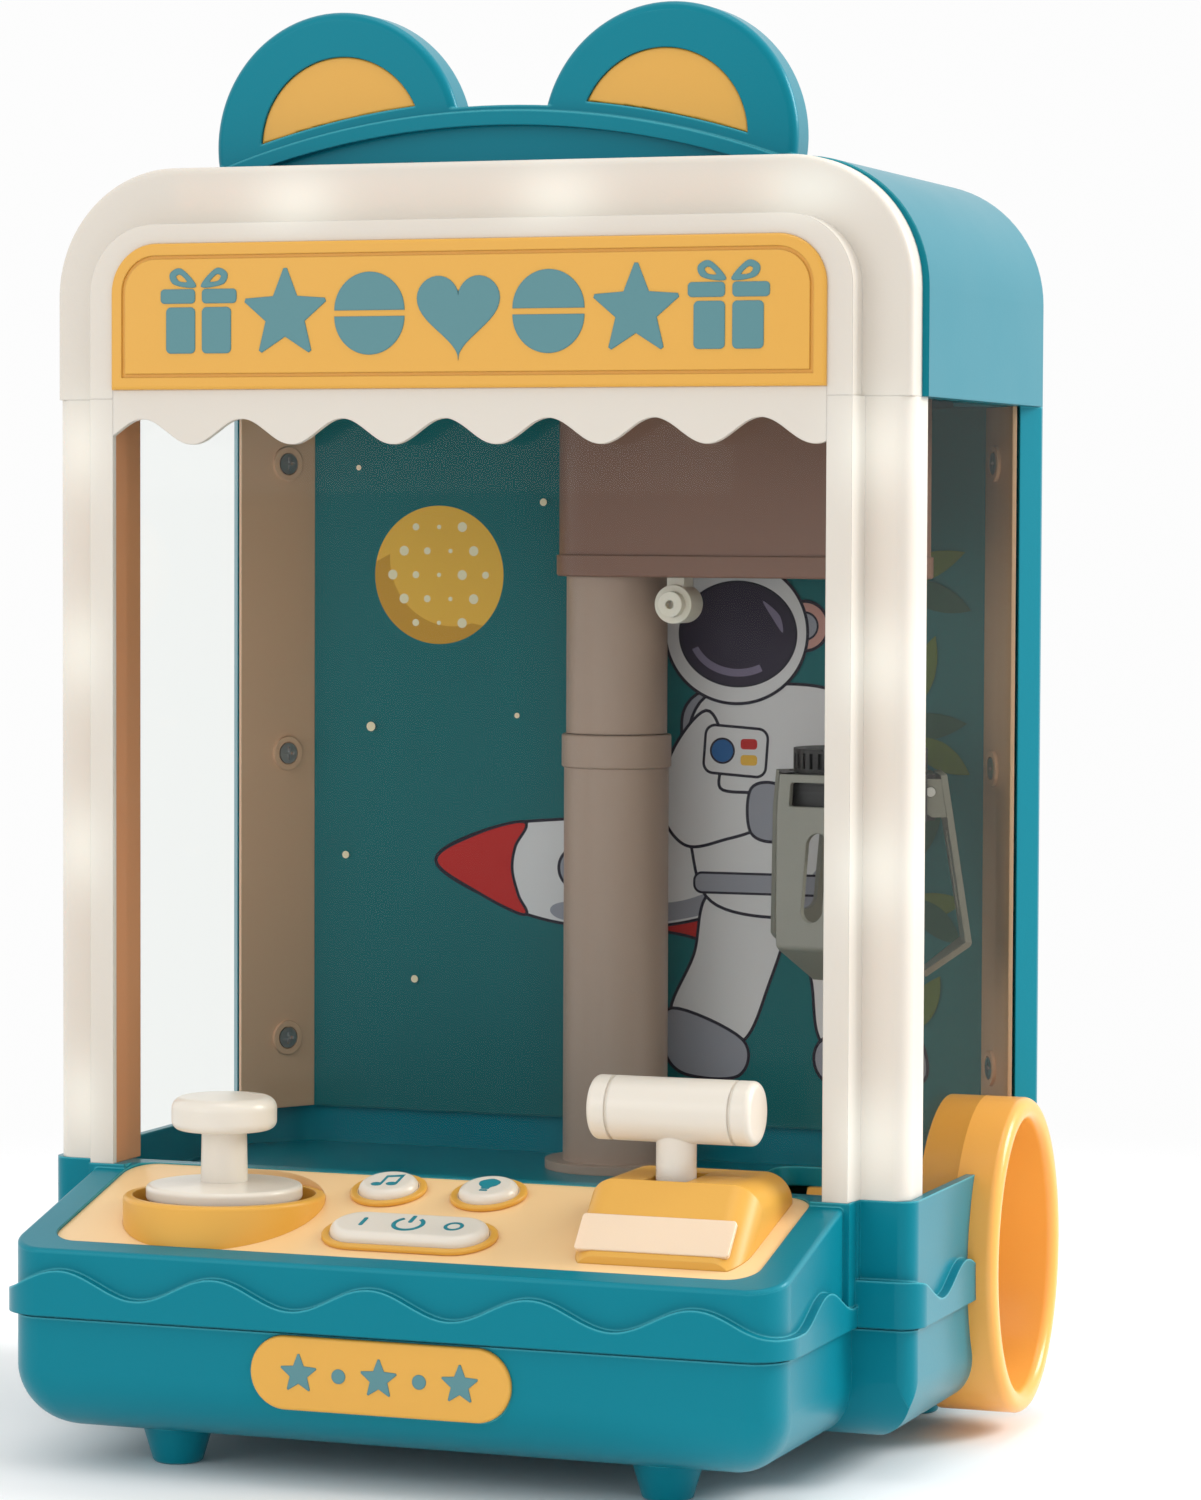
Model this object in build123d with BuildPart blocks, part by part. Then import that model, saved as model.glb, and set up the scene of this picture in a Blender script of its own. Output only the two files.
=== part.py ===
"""Toy prize-grabber machine: a glazed cabinet with a slewing claw arm, a sloping console and a side chute.

The model is laid out about the cabinet's centre-plane (X = 0) and the front face of its white frame (Y = 0),
standing on Z = 0. save() then moves every piece so that the origin is under the middle of the whole machine.
"""

import os
from math import atan, cos, degrees, hypot, pi, radians, sin

from build123d import *

os.makedirs("parts", exist_ok=True)

# ---- driving dimensions, millimetres --------------------------------------------------------------------------------
WALL = 2.4                      # moulded shell thickness
HALF_WIDTH = 122.0              # cabinet and base body
FRAME_HALF_WIDTH = 120.2        # white front frame, set in a little from the body
BODY_FRONT = 8.0                # front of the base body and main face of the white frame
SIDE_REAR = 128.8               # rear end of the straight sides
REAR = 146.0                    # rear face of the bulged back
REAR_HALF_WIDTH = 105.0

TUB_BOTTOM = 10.0
TUB_ROUND = 16.5
COLLAR_BOTTOM = 40.8
COLLAR_TOP = 73.3
SEAM = 278.6                    # joint between legs and arch
CABINET_TOP = 340.4
ARCH_ROUND = 34.0

CONSOLE_HALF_WIDTH = 105.5
CONSOLE_FRONT = -52.5
CONSOLE_ROUND = 9.5
RIM_FRONT = 57.93               # height of the console rim at its front edge
RIM_SLOPE = 0.269               # rise of the console per millimetre towards the back
CONSOLE_TILT = degrees(atan(RIM_SLOPE))

SEAM_GROOVE = 0.8                # height and depth of the groove between tub and collar
BAND_PROUD = 2.3                # raised wavy band around the base
WAVE_MEAN = 49.5
WAVE_SWING = 3.4
WAVE_PERIOD = 43.3

DECK_HALF_WIDTH = 96.5
DECK_FRONT = -46.5
DECK_REAR = 6.5
DECK_DROP = 0.8                 # deck surface below the rim
DECK_THICK = 2.4

LIP_INNER = 99.8                # inner edge of the frame's front lip
LIP_OUTER = 106.6
LIP_BACK = 17.0
FLANGE_BACK = 21.5              # rear end of the frame's side flange
FRAME_SKIN = 2.0

WINDOW_Y = 8.4
GLASS = 1.5
SIDE_GLASS_X = 116.0

RING_Y = 93.0                   # prize outlet ring in the right-hand side
RING_Z = 48.2
RING_HALF_WIDTH = 34.5
RING_HALF_HEIGHT = 42.8
RING_WALL = 6.0
RING_INNER_X = 107.0
RING_OUTER_X = 129.5

TRAY_Z = 60.0
MAST = (0.0, 121.0)
CLAW_REACH = 79.0
ARM_HEADING = -11.7             # degrees from +X at rest, with the claw over the chute
MAST_RADIUS = 14.9
SHAFT_RADIUS = 7.0
ARM_BOTTOM = 231.0
ARM_HEIGHT = 62.0
RUNNING_FIT = 0.06

SLOPE_STRETCH = 1 / cos(radians(CONSOLE_TILT))
MUSIC_BUTTON = (-18.0, -4.0 * SLOPE_STRETCH)    # button places in the slope's own axes
LIGHT_BUTTON = (10.0, -3.5 * SLOPE_STRETCH)
POWER_BUTTON = (-1.0, -31.0 * SLOPE_STRETCH)
BUTTON_RADIUS = 7.9
JOYSTICK = (-58.0, -20.0)
JOYSTICK_PIVOT = 56.0
LEVER_X = 65.7
LEVER_Y = -15.0

TO_ORIGIN = Location((-(RING_OUTER_X - HALF_WIDTH - BAND_PROUD) / 2, -(REAR + CONSOLE_FRONT) / 2, 0))


def save(piece, name):
    """Label a finished piece, move it to the machine's origin and write its STEP file."""
    piece.part.label = name
    export_step(piece.part.moved(TO_ORIGIN), f"parts/{name}.step")


def facing(y):
    """Plane seen from the front at depth y: local x is X, local y is Z, and it faces -Y."""
    return Plane(origin=(0, y, 0), x_dir=(1, 0, 0), z_dir=(0, -1, 0))


def rim_height(y):
    """Height of the console rim at depth y."""
    return RIM_FRONT + RIM_SLOPE * (y - CONSOLE_FRONT)


def console_plane(drop=0.0):
    """Plane along the console slope, moved down its normal by drop; local x, y follow X and the slope."""
    tilt = radians(CONSOLE_TILT)
    normal = Vector(0, -sin(tilt), cos(tilt))
    return Plane(origin=Vector(0, 0, rim_height(0)) - normal * drop, x_dir=(1, 0, 0), z_dir=normal)


def wave_height(along, crest):
    """Height of the wavy band edge at a distance along a side, with a crest at the given place."""
    return WAVE_MEAN + WAVE_SWING * cos(2 * pi * (along - crest) / WAVE_PERIOD)


# ---- outlines -------------------------------------------------------------------------------------------------------
def body_outline(inset=0.0):
    """Base body from above, with its tapered bulge at the back."""
    with BuildSketch() as outline:
        with BuildLine():
            Polyline(
                (-HALF_WIDTH, BODY_FRONT), (HALF_WIDTH, BODY_FRONT), (HALF_WIDTH, SIDE_REAR),
                (REAR_HALF_WIDTH, REAR), (-REAR_HALF_WIDTH, REAR), (-HALF_WIDTH, SIDE_REAR), close=True,
            )
        make_face()
        fillet(outline.vertices().group_by(Axis.Y)[0], 4.5)
        fillet(outline.vertices().group_by(Axis.Y)[-1], 10)
        if inset:
            offset(amount=-inset, kind=Kind.INTERSECTION)
    return outline.sketch


def console_outline(inset=0.0):
    """Console from above; its back end runs on into the body."""
    with BuildSketch() as outline:
        with Locations((0, CONSOLE_FRONT + inset)):
            Rectangle(2 * (CONSOLE_HALF_WIDTH - inset), 80 - inset, align=(Align.CENTER, Align.MIN))
        fillet(outline.vertices().group_by(Axis.Y)[0], CONSOLE_ROUND - inset)
    return outline.sketch


def deck_outline(inset=0.0):
    """Console deck on the slope, in the slope's own axes."""
    stretch = 1 / cos(radians(CONSOLE_TILT))
    depth = (DECK_REAR - DECK_FRONT) * stretch
    with BuildSketch() as outline:
        with Locations((0, DECK_FRONT * stretch + depth / 2)):
            RectangleRounded(2 * (DECK_HALF_WIDTH - inset), depth - 2 * inset, 8 - inset)
    return outline.sketch


def arch_outline(inset=0.0, half_width=HALF_WIDTH):
    """Cabinet from the front above the seam, rounded at its two top corners."""
    with BuildSketch() as outline:
        with Locations((0, SEAM)):
            Rectangle(2 * (half_width - inset), CABINET_TOP - inset - SEAM, align=(Align.CENTER, Align.MIN))
        fillet(outline.vertices().group_by(Axis.Y)[-1], ARCH_ROUND - inset)
    return outline.sketch


def sign_outline(inset=0.0):
    """Sign board from the front."""
    with BuildSketch() as outline:
        with Locations((0, 281 + inset)):
            Rectangle(2 * (LIP_INNER - inset), 38.7 - 2 * inset, align=(Align.CENTER, Align.MIN))
        fillet(outline.vertices().group_by(Axis.Y)[-1], 13 - inset)
    return outline.sketch


def ring_outline(grow=0.0):
    """Prize outlet seen from the side, in Y and Z."""
    with BuildSketch() as outline:
        with Locations((RING_Y, RING_Z)):
            Ellipse(RING_HALF_WIDTH + grow, RING_HALF_HEIGHT + grow)
    return outline.sketch


def wave_cutter(start, end, crest, plane, depth):
    """Solid above the band's wavy edge from start to end along a side."""
    steps = 6 * round((end - start) / WAVE_PERIOD + 1)
    points = [
        (start + (end - start) * i / steps, wave_height(start + (end - start) * i / steps, crest))
        for i in range(steps + 1)
    ]
    with BuildPart() as cutter:
        with BuildSketch(plane):
            with BuildLine():
                Spline(*points)
                Polyline(points[-1], (end, COLLAR_TOP), (start, COLLAR_TOP), points[0])
            make_face()
        extrude(amount=depth)
    return cutter.part


# ---- base -----------------------------------------------------------------------------------------------------------
def tub_block(inset):
    """Tub volume: a body and a console block, both rounded along the bottom, moved in by inset."""
    bottom = TUB_BOTTOM + inset
    height = COLLAR_BOTTOM - bottom
    with BuildPart() as body:
        with BuildSketch(Plane.XY.offset(bottom)):
            add(body_outline(inset))
        extrude(amount=height)
        with BuildSketch(facing(REAR + 10)) as across:
            with Locations((0, bottom)):
                Rectangle(2 * (HALF_WIDTH - inset), 60, align=(Align.CENTER, Align.MIN))
            fillet(across.vertices().group_by(Axis.Y)[0], TUB_ROUND - inset)
        extrude(amount=REAR + 20, mode=Mode.INTERSECT)
        with BuildSketch(Plane.YZ.offset(-HALF_WIDTH - 10)) as along:
            with Locations(((BODY_FRONT + REAR) / 2, bottom)):
                Rectangle(REAR - BODY_FRONT - 2 * inset, 60, align=(Align.CENTER, Align.MIN))
            fillet(along.vertices().group_by(Axis.Y)[0], TUB_ROUND - inset)
        extrude(amount=2 * HALF_WIDTH + 20, mode=Mode.INTERSECT)
    with BuildPart() as console:
        with BuildSketch(Plane.XY.offset(bottom)):
            add(console_outline(inset))
        extrude(amount=height)
        underside = console.faces().sort_by(Axis.Z)[0]
        fillet(underside.edges().sort_by(Axis.Y)[:-1], TUB_ROUND - inset)
    return body.part + console.part


BADGE_Z = 30.2
BADGE_BACK = CONSOLE_FRONT + 1.4
BATTERY_X, BATTERY_Y = -40.0, 62.0
BATTERY_LENGTH, BATTERY_WIDTH = 60.0, 58.0
FEET = [(-68, -27), (68, -27), (-92, 112), (92, 112)]
BOSSES = [                      # screw bosses: x, y, then the wall point that each one's web reaches
    (-92, -20, -104.5, -20), (92, -20, 104.5, -20), (-108, 60, -121, 60), (60, 134, 60, 145), (-60, 134, -60, 145),
]
SCREWS = [boss[:2] for boss in BOSSES]
POST_RADIUS, SCREW_HOLE = 4.6, 1.6
SCREW_SHANK, SCREW_HEAD, SCREW_SEAT = 1.5, 3.0, 15.0

with BuildPart() as ring_passage:
    with BuildSketch(Plane.YZ.offset(RING_INNER_X - 1)):
        add(ring_outline())
    extrude(amount=RING_OUTER_X - RING_INNER_X + 5)

with BuildPart() as base_tub:
    add(tub_block(0))
    add(tub_block(WALL), mode=Mode.SUBTRACT)
    add(ring_passage.part, mode=Mode.SUBTRACT)
    with BuildSketch(facing(CONSOLE_FRONT - 2)):                    # recess for the name pill
        with Locations((0, BADGE_Z)):
            SlotOverall(71, 19)
    extrude(amount=-(BADGE_BACK - CONSOLE_FRONT + 2), mode=Mode.SUBTRACT)
    with BuildSketch(Plane.XY.offset(TUB_BOTTOM - 1)):              # battery hatch
        with Locations((BATTERY_X, BATTERY_Y)):
            RectangleRounded(BATTERY_LENGTH - 4, BATTERY_WIDTH - 4, 3)
    extrude(amount=WALL + 2, mode=Mode.SUBTRACT)
    with BuildSketch(Plane.XY.offset(TUB_BOTTOM + WALL - 0.5)):     # screw posts
        with Locations(SCREWS):
            Circle(POST_RADIUS)
    extrude(amount=COLLAR_BOTTOM - TUB_BOTTOM - WALL + 0.5)
    with BuildSketch(Plane.XY.offset(TUB_BOTTOM)):
        with Locations(SCREWS):
            Circle(SCREW_HEAD + 0.3)
    extrude(amount=SCREW_SEAT - TUB_BOTTOM, mode=Mode.SUBTRACT)
    with BuildSketch(Plane.XY.offset(TUB_BOTTOM)):
        with Locations(SCREWS):
            Circle(SCREW_HOLE)
    extrude(amount=40, mode=Mode.SUBTRACT)
    with BuildSketch(Plane.XY.offset(TUB_BOTTOM)):                  # loudspeaker slots
        with Locations((60, 30)):
            with GridLocations(0, 5, 1, 5):
                SlotOverall(26, 2)
    extrude(amount=WALL, mode=Mode.SUBTRACT)
    with BuildSketch(Plane.XY.offset(COLLAR_BOTTOM - SEAM_GROOVE)):  # shadow groove under the collar
        add(body_outline(-1))
        add(console_outline(-1))
        add(body_outline(SEAM_GROOVE), mode=Mode.SUBTRACT)
        add(console_outline(SEAM_GROOVE), mode=Mode.SUBTRACT)
    extrude(amount=SEAM_GROOVE, mode=Mode.SUBTRACT)
save(base_tub, "base_tub")

with BuildPart() as feet:
    for spot in FEET:
        with BuildSketch(Plane.XY):
            with Locations(spot):
                Circle(6.4)
        with BuildSketch(Plane.XY.offset(TUB_BOTTOM)):
            with Locations(spot):
                Circle(9.4)
        loft()
    fillet(feet.edges().group_by(Axis.Z)[0], 1.2)
save(feet, "feet")

with BuildPart() as name_badge:
    with BuildSketch(facing(BADGE_BACK)):
        with Locations((0, BADGE_Z)):
            SlotOverall(71, 19)
    extrude(amount=BADGE_BACK - CONSOLE_FRONT + 1.3)
    fillet(name_badge.faces().sort_by(Axis.Y)[0].edges(), 0.8)
save(name_badge, "name_badge")


# ---- collar with console and wavy band ------------------------------------------------------------------------------
def band_ring():
    """Raised band around the base, cut to a wave along the console and the sides."""
    with BuildPart() as band:
        with BuildSketch(Plane.XY.offset(COLLAR_BOTTOM)) as footprint:
            add(body_outline())
            add(console_outline())
            offset(amount=BAND_PROUD)
            add(body_outline(), mode=Mode.SUBTRACT)
            add(console_outline(), mode=Mode.SUBTRACT)
        extrude(amount=WAVE_MEAN + WAVE_SWING - COLLAR_BOTTOM)
        front_end = CONSOLE_FRONT + 14
        edge = HALF_WIDTH + 10
        add(wave_cutter(-edge, edge, -2.5, facing(front_end), 40), mode=Mode.SUBTRACT)
        side_plane = Plane.YZ.offset(-edge)
        add(wave_cutter(front_end, BODY_FRONT - BAND_PROUD, -18.4, side_plane, 2 * edge), mode=Mode.SUBTRACT)
        add(wave_cutter(BODY_FRONT, SIDE_REAR, 50, side_plane, 2 * edge), mode=Mode.SUBTRACT)
    return band.part


def joystick_column(radius, bottom, top):
    """Upright cylinder under the joystick, kept in front of the console's rear step."""
    with BuildPart() as column:
        with BuildSketch(Plane.XY.offset(bottom)) as circle:
            with Locations(JOYSTICK):
                Circle(radius)
            with Locations((JOYSTICK[0], DECK_REAR)):
                Rectangle(80, 40, align=(Align.CENTER, Align.MIN), mode=Mode.SUBTRACT)
        extrude(amount=top - bottom)
    return column.part


LEDGE_DROP = DECK_DROP + DECK_THICK
SOCKET_RADIUS = 26.5

with BuildPart() as above_slope:
    with BuildSketch(console_plane()):
        Rectangle(400, 400)
    extrude(amount=90)

with BuildPart() as console_hollow:
    with BuildSketch(Plane.XY.offset(COLLAR_BOTTOM)) as floor_plan:
        add(console_outline(WALL))
        with Locations((0, BODY_FRONT + WALL)):
            Rectangle(400, 100, align=(Align.CENTER, Align.MIN), mode=Mode.SUBTRACT)
    extrude(amount=COLLAR_TOP - COLLAR_BOTTOM)
    with BuildSketch(console_plane(LEDGE_DROP + 1.6)):
        Rectangle(400, 400)
    extrude(amount=90, mode=Mode.SUBTRACT)

with BuildPart() as base_collar:
    with BuildSketch(Plane.XY.offset(COLLAR_BOTTOM)):
        add(console_outline())
    extrude(amount=COLLAR_TOP - COLLAR_BOTTOM)
    add(above_slope.part, mode=Mode.SUBTRACT)
    fillet(base_collar.edges().filter_by(lambda e: e.center().Y < -20 and e.center().Z > 57), 1.2)
    with BuildSketch(Plane.XY.offset(COLLAR_BOTTOM)):
        add(body_outline())
        with Locations((0, DECK_REAR)):
            Rectangle(2 * (LIP_OUTER + 1), 20, align=(Align.CENTER, Align.MIN))
    extrude(amount=COLLAR_TOP - COLLAR_BOTTOM)
    for side in (-1, 1):                                            # steps that carry the frame's lips
        with BuildSketch(Plane.XY.offset(COLLAR_BOTTOM)):
            with Locations((side * (LIP_OUTER + 0.5 + DECK_HALF_WIDTH) / 2, 0)):
                Rectangle(LIP_OUTER + 0.5 - DECK_HALF_WIDTH, 14, align=(Align.CENTER, Align.MIN))
        extrude(amount=COLLAR_TOP - COLLAR_BOTTOM)
    with BuildSketch(Plane.XY.offset(COLLAR_BOTTOM)):
        add(body_outline(WALL))
    extrude(amount=COLLAR_TOP - COLLAR_BOTTOM, mode=Mode.SUBTRACT)
    add(console_hollow.part, mode=Mode.SUBTRACT)
    with BuildSketch(console_plane(LEDGE_DROP)):
        add(deck_outline())
    extrude(amount=30, mode=Mode.SUBTRACT)
    with BuildSketch(console_plane(LEDGE_DROP)):
        add(deck_outline(3))
    extrude(amount=-6, mode=Mode.SUBTRACT)
    with BuildSketch(console_plane(LEDGE_DROP)):                    # room for the round buttons' flanges
        with Locations(MUSIC_BUTTON, LIGHT_BUTTON):
            Circle(BUTTON_RADIUS + 2)
    extrude(amount=-6, mode=Mode.SUBTRACT)
    add(joystick_column(SOCKET_RADIUS, COLLAR_BOTTOM, COLLAR_TOP), mode=Mode.SUBTRACT)
    add(band_ring())
    add(ring_passage.part, mode=Mode.SUBTRACT)
    for x, y, wall_x, wall_y in BOSSES:                             # screw bosses, each on a web from the nearest wall
        with BuildSketch(Plane.XY.offset(COLLAR_BOTTOM)):
            with Locations((x, y)):
                Circle(POST_RADIUS)
            with BuildLine():
                Line((x, y), (wall_x, wall_y))
            trace(line_width=2)
        extrude(amount=9)
        with BuildSketch(Plane.XY.offset(COLLAR_BOTTOM)):
            with Locations((x, y)):
                Circle(SCREW_HOLE)
        extrude(amount=9, mode=Mode.SUBTRACT)
save(base_collar, "base_collar")

# ---- console deck and its controls ----------------------------------------------------------------------------------
BUTTON_GAP = 0.15
BUTTON_TRAVEL = 1.6
POWER_SIZE = (43.0, 15.8)
BEZEL_WIDTH = 1.7
BEZEL_HEIGHT = 1.2
OUT_OF_DECK = Axis((0, 0, 0), console_plane().z_dir)


def deck_surface(depth=0.0):
    """Plane of the deck's upper face, or parallel to it and depth below."""
    return console_plane(DECK_DROP + depth)


with BuildPart() as control_deck:
    with BuildSketch(console_plane(LEDGE_DROP)):
        add(deck_outline())
    extrude(amount=DECK_THICK)
    with BuildSketch(deck_surface()):
        with Locations(MUSIC_BUTTON, LIGHT_BUTTON):
            Circle(BUTTON_RADIUS + BEZEL_WIDTH)
        with Locations(POWER_BUTTON):
            SlotOverall(POWER_SIZE[0] + 2 * BEZEL_WIDTH, POWER_SIZE[1] + 2 * BEZEL_WIDTH)
    extrude(amount=BEZEL_HEIGHT)
    with BuildSketch(deck_surface(-BEZEL_HEIGHT)):
        with Locations(MUSIC_BUTTON, LIGHT_BUTTON):
            Circle(BUTTON_RADIUS + BUTTON_GAP)
        with Locations(POWER_BUTTON):
            SlotOverall(POWER_SIZE[0] + 2 * BUTTON_GAP, POWER_SIZE[1] + 2 * BUTTON_GAP)
        with Locations((LEVER_X, LEVER_Y * SLOPE_STRETCH)):         # room for the lever's foot
            Rectangle(24, 22)
    extrude(amount=-10, mode=Mode.SUBTRACT)
    add(joystick_column(SOCKET_RADIUS, COLLAR_BOTTOM, COLLAR_TOP + 10), mode=Mode.SUBTRACT)
save(control_deck, "control_deck")

SOCKET_TOP = 70.0
SOCKET_FLOOR = 54.0
GIMBAL_PIN = 1.5
CUP_RADIUS = 13.3
GIMBAL_OUTER, GIMBAL_INNER = 12.0, 8.6


def pivot_rod(radius, reach, direction, centre):
    """Round rod through a centre point along a direction, reaching the given distance each way."""
    with BuildPart() as rod:
        with BuildSketch(Plane(origin=Vector(*centre) - Vector(*direction) * reach, z_dir=direction)):
            Circle(radius)
        extrude(amount=2 * reach)
    return rod.part


JOYSTICK_CENTRE = (*JOYSTICK, JOYSTICK_PIVOT)

with BuildPart() as joystick_socket:
    add(joystick_column(SOCKET_RADIUS, SOCKET_FLOOR, SOCKET_TOP))
    fillet(joystick_socket.edges().group_by(Axis.Z)[-1].filter_by(GeomType.CIRCLE), 1.0)
    add(joystick_column(SOCKET_RADIUS - 2.5, SOCKET_FLOOR + 2, SOCKET_TOP), mode=Mode.SUBTRACT)
    with BuildSketch(Plane.XY.offset(SOCKET_FLOOR - 5)):
        with Locations(JOYSTICK):
            Circle(CUP_RADIUS + 2.7)
    extrude(amount=13)
    with BuildSketch(Plane.XY.offset(SOCKET_FLOOR - 5)):
        with Locations(JOYSTICK):
            Circle(CUP_RADIUS)
    extrude(amount=20, mode=Mode.SUBTRACT)
    add(pivot_rod(GIMBAL_PIN + RUNNING_FIT, 17, (1, 0, 0), JOYSTICK_CENTRE), mode=Mode.SUBTRACT)
save(joystick_socket, "joystick_socket")

with BuildPart() as gimbal_ring:
    with BuildSketch(Plane.XY.offset(JOYSTICK_PIVOT - 2.5)):
        with Locations(JOYSTICK):
            Circle(GIMBAL_OUTER)
    extrude(amount=5)
    add(pivot_rod(GIMBAL_PIN, CUP_RADIUS + 2.2, (1, 0, 0), JOYSTICK_CENTRE))
    with BuildSketch(Plane.XY.offset(JOYSTICK_PIVOT - 3)):
        with Locations(JOYSTICK):
            Circle(GIMBAL_INNER)
    extrude(amount=6, mode=Mode.SUBTRACT)
    add(pivot_rod(GIMBAL_PIN + RUNNING_FIT, 14, (0, 1, 0), JOYSTICK_CENTRE), mode=Mode.SUBTRACT)
save(gimbal_ring, "gimbal_ring")

with BuildPart() as joystick:
    with BuildSketch(Plane.XZ.offset(-JOYSTICK[1])):
        with BuildLine():
            Polyline(
                (JOYSTICK[0], 52), (JOYSTICK[0] + 4.5, 52), (JOYSTICK[0] + 4.5, 68.5), (JOYSTICK[0] + 20.5, 68.5),
                (JOYSTICK[0] + 20.5, 72.6), (JOYSTICK[0] + 6.2, 73.4), (JOYSTICK[0] + 5.9, 87),
                (JOYSTICK[0] + 13.8, 87), (JOYSTICK[0] + 13.8, 95.6), (JOYSTICK[0], 96.2), close=True,
            )
        make_face()
    revolve(axis=Axis((*JOYSTICK, 0), (0, 0, 1)))
    knob_edges = joystick.edges().filter_by(GeomType.CIRCLE).filter_by(lambda e: e.radius > 13)
    fillet(knob_edges.filter_by(lambda e: e.center().Z > 95), 3.2)
    knob_rims = joystick.edges().filter_by(GeomType.CIRCLE)
    fillet(knob_rims.filter_by(lambda e: 13 < e.radius < 14 and e.center().Z < 90), 2.4)
    fillet(joystick.edges().filter_by(GeomType.CIRCLE).filter_by(lambda e: e.radius > 20), 1.2)
    add(pivot_rod(GIMBAL_PIN, GIMBAL_OUTER - 1, (0, 1, 0), JOYSTICK_CENTRE))
save(joystick, "joystick")


def push_button(place, radius):
    """Round sprung button: domed cap, retaining flange under the deck and a post towards its switch."""
    with BuildPart() as button:
        with BuildSketch(deck_surface(4)):
            with Locations(place):
                Circle(radius)
        extrude(amount=4 + BEZEL_HEIGHT + 2.2)
        fillet(button.edges().sort_by(OUT_OF_DECK)[-1], 2.1)
        with BuildSketch(deck_surface(4)):
            with Locations(place):
                Circle(radius + 1.4)
        extrude(amount=4 - DECK_THICK - 0.05)
        with BuildSketch(deck_surface(4)):
            with Locations(place):
                Circle(2.4)
        extrude(amount=-4.3)
    return button


for button_name, button_place in (("music_button", MUSIC_BUTTON), ("light_button", LIGHT_BUTTON)):
    save(push_button(button_place, BUTTON_RADIUS), button_name)

with BuildPart() as power_button:
    with BuildSketch(deck_surface(4)):
        with Locations(POWER_BUTTON):
            SlotOverall(*POWER_SIZE)
    extrude(amount=4 + BEZEL_HEIGHT + 2.6)
    fillet(power_button.faces().sort_by(OUT_OF_DECK)[-1].edges(), 2.2)
    with BuildSketch(deck_surface(4)):
        with Locations(POWER_BUTTON):
            SlotOverall(POWER_SIZE[0] + 2.8, POWER_SIZE[1] + 2.8)
    extrude(amount=4 - DECK_THICK - 0.05)
    with BuildSketch(deck_surface(4)):
        with Locations(POWER_BUTTON):
            Circle(2.4)
    extrude(amount=-4.3)
save(power_button, "power_button")

SWITCH_TOP = 4 + 4.3 + BUTTON_TRAVEL + 0.2
BOARD_TOP = SWITCH_TOP + 3

with BuildPart() as circuit_board:
    with BuildSketch(deck_surface(BOARD_TOP)):
        with Locations((3, -18)):
            RectangleRounded(66, 48, 2)
    extrude(amount=-1.6)
    with BuildSketch(deck_surface(BOARD_TOP)):
        with Locations(MUSIC_BUTTON, LIGHT_BUTTON, POWER_BUTTON):
            Rectangle(6, 6)
        with Locations((-20, -22)):
            Rectangle(9, 12)
        with Locations((22, -22)):
            Rectangle(5, 14)
    extrude(amount=BOARD_TOP - SWITCH_TOP - 0.6)
    with BuildSketch(deck_surface(BOARD_TOP)):
        with Locations(MUSIC_BUTTON, LIGHT_BUTTON, POWER_BUTTON):
            Circle(1.7)
    extrude(amount=BOARD_TOP - SWITCH_TOP)
save(circuit_board, "circuit_board")

# ---- coin housing and T-lever ---------------------------------------------------------------------------------------
HOUSING_LEFT, HOUSING_RIGHT = 45.0, 91.0
HOUSING_TOP = 80.0
HOUSING_FRONT, HOUSING_BACK = -40.0, 3.0
HOUSING_NOSE = 62.5             # height where the front face starts to lean back
HOUSING_RIDGE = -24.0           # front edge of the flat top
LEVER_PIVOT_Z = 71.5
LEVER_PIN = 1.6
LEVER_STEM = 5.2
LEVER_HEAD_Z = 97.0


def housing_block(inset):
    """Coin housing volume moved in by inset, cut off at the deck."""
    with BuildPart() as block:
        with BuildSketch(Plane.YZ.offset(HOUSING_LEFT + inset)):
            with BuildLine():
                Polyline(
                    (HOUSING_FRONT + inset, 50), (HOUSING_FRONT + inset, HOUSING_NOSE),
                    (HOUSING_RIDGE + inset / 2, HOUSING_TOP - inset), (HOUSING_BACK - inset, HOUSING_TOP - inset),
                    (HOUSING_BACK - inset, 50), close=True,
                )
            make_face()
        extrude(amount=HOUSING_RIGHT - HOUSING_LEFT - 2 * inset)
        ends = block.faces().filter_by(Axis.X)
        fillet([e for end in ends for e in end.edges() if e.center().Z > HOUSING_NOSE + 4], 7.5 - inset)
        with BuildSketch(deck_surface()):
            Rectangle(400, 400)
        extrude(amount=-60, mode=Mode.SUBTRACT)
    return block.part


lean = Vector(0, -(HOUSING_TOP - HOUSING_NOSE), HOUSING_RIDGE - HOUSING_FRONT).normalized()
window_plane = Plane(origin=(LEVER_X + 1.5, HOUSING_FRONT, HOUSING_NOSE), x_dir=(1, 0, 0), z_dir=lean)
LUG_INNER = 6.2

with BuildPart() as coin_housing:
    add(housing_block(0))
    add(housing_block(2.2), mode=Mode.SUBTRACT)
    for side in (-1, 1):                                            # lugs that hold the lever's pin
        with BuildSketch(Plane.YZ.offset(LEVER_X + side * (LUG_INNER + 1))):
            with Locations((LEVER_Y, HOUSING_TOP - 1)):
                Rectangle(8, 11.5, align=(Align.CENTER, Align.MAX))
        extrude(amount=1, both=True)
    with BuildSketch(Plane.XY.offset(HOUSING_TOP + 1)):
        with Locations((LEVER_X, LEVER_Y)):
            Rectangle(2 * LEVER_STEM + 1.2, 17.5)
    extrude(amount=-11, mode=Mode.SUBTRACT)
    add(pivot_rod(LEVER_PIN, 9, (1, 0, 0), (LEVER_X, LEVER_Y, LEVER_PIVOT_Z)), mode=Mode.SUBTRACT)
    with BuildSketch(window_plane):
        with Locations((0, 7.2)):
            RectangleRounded(41, 11, 1)
    extrude(amount=-0.8, mode=Mode.SUBTRACT)
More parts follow.
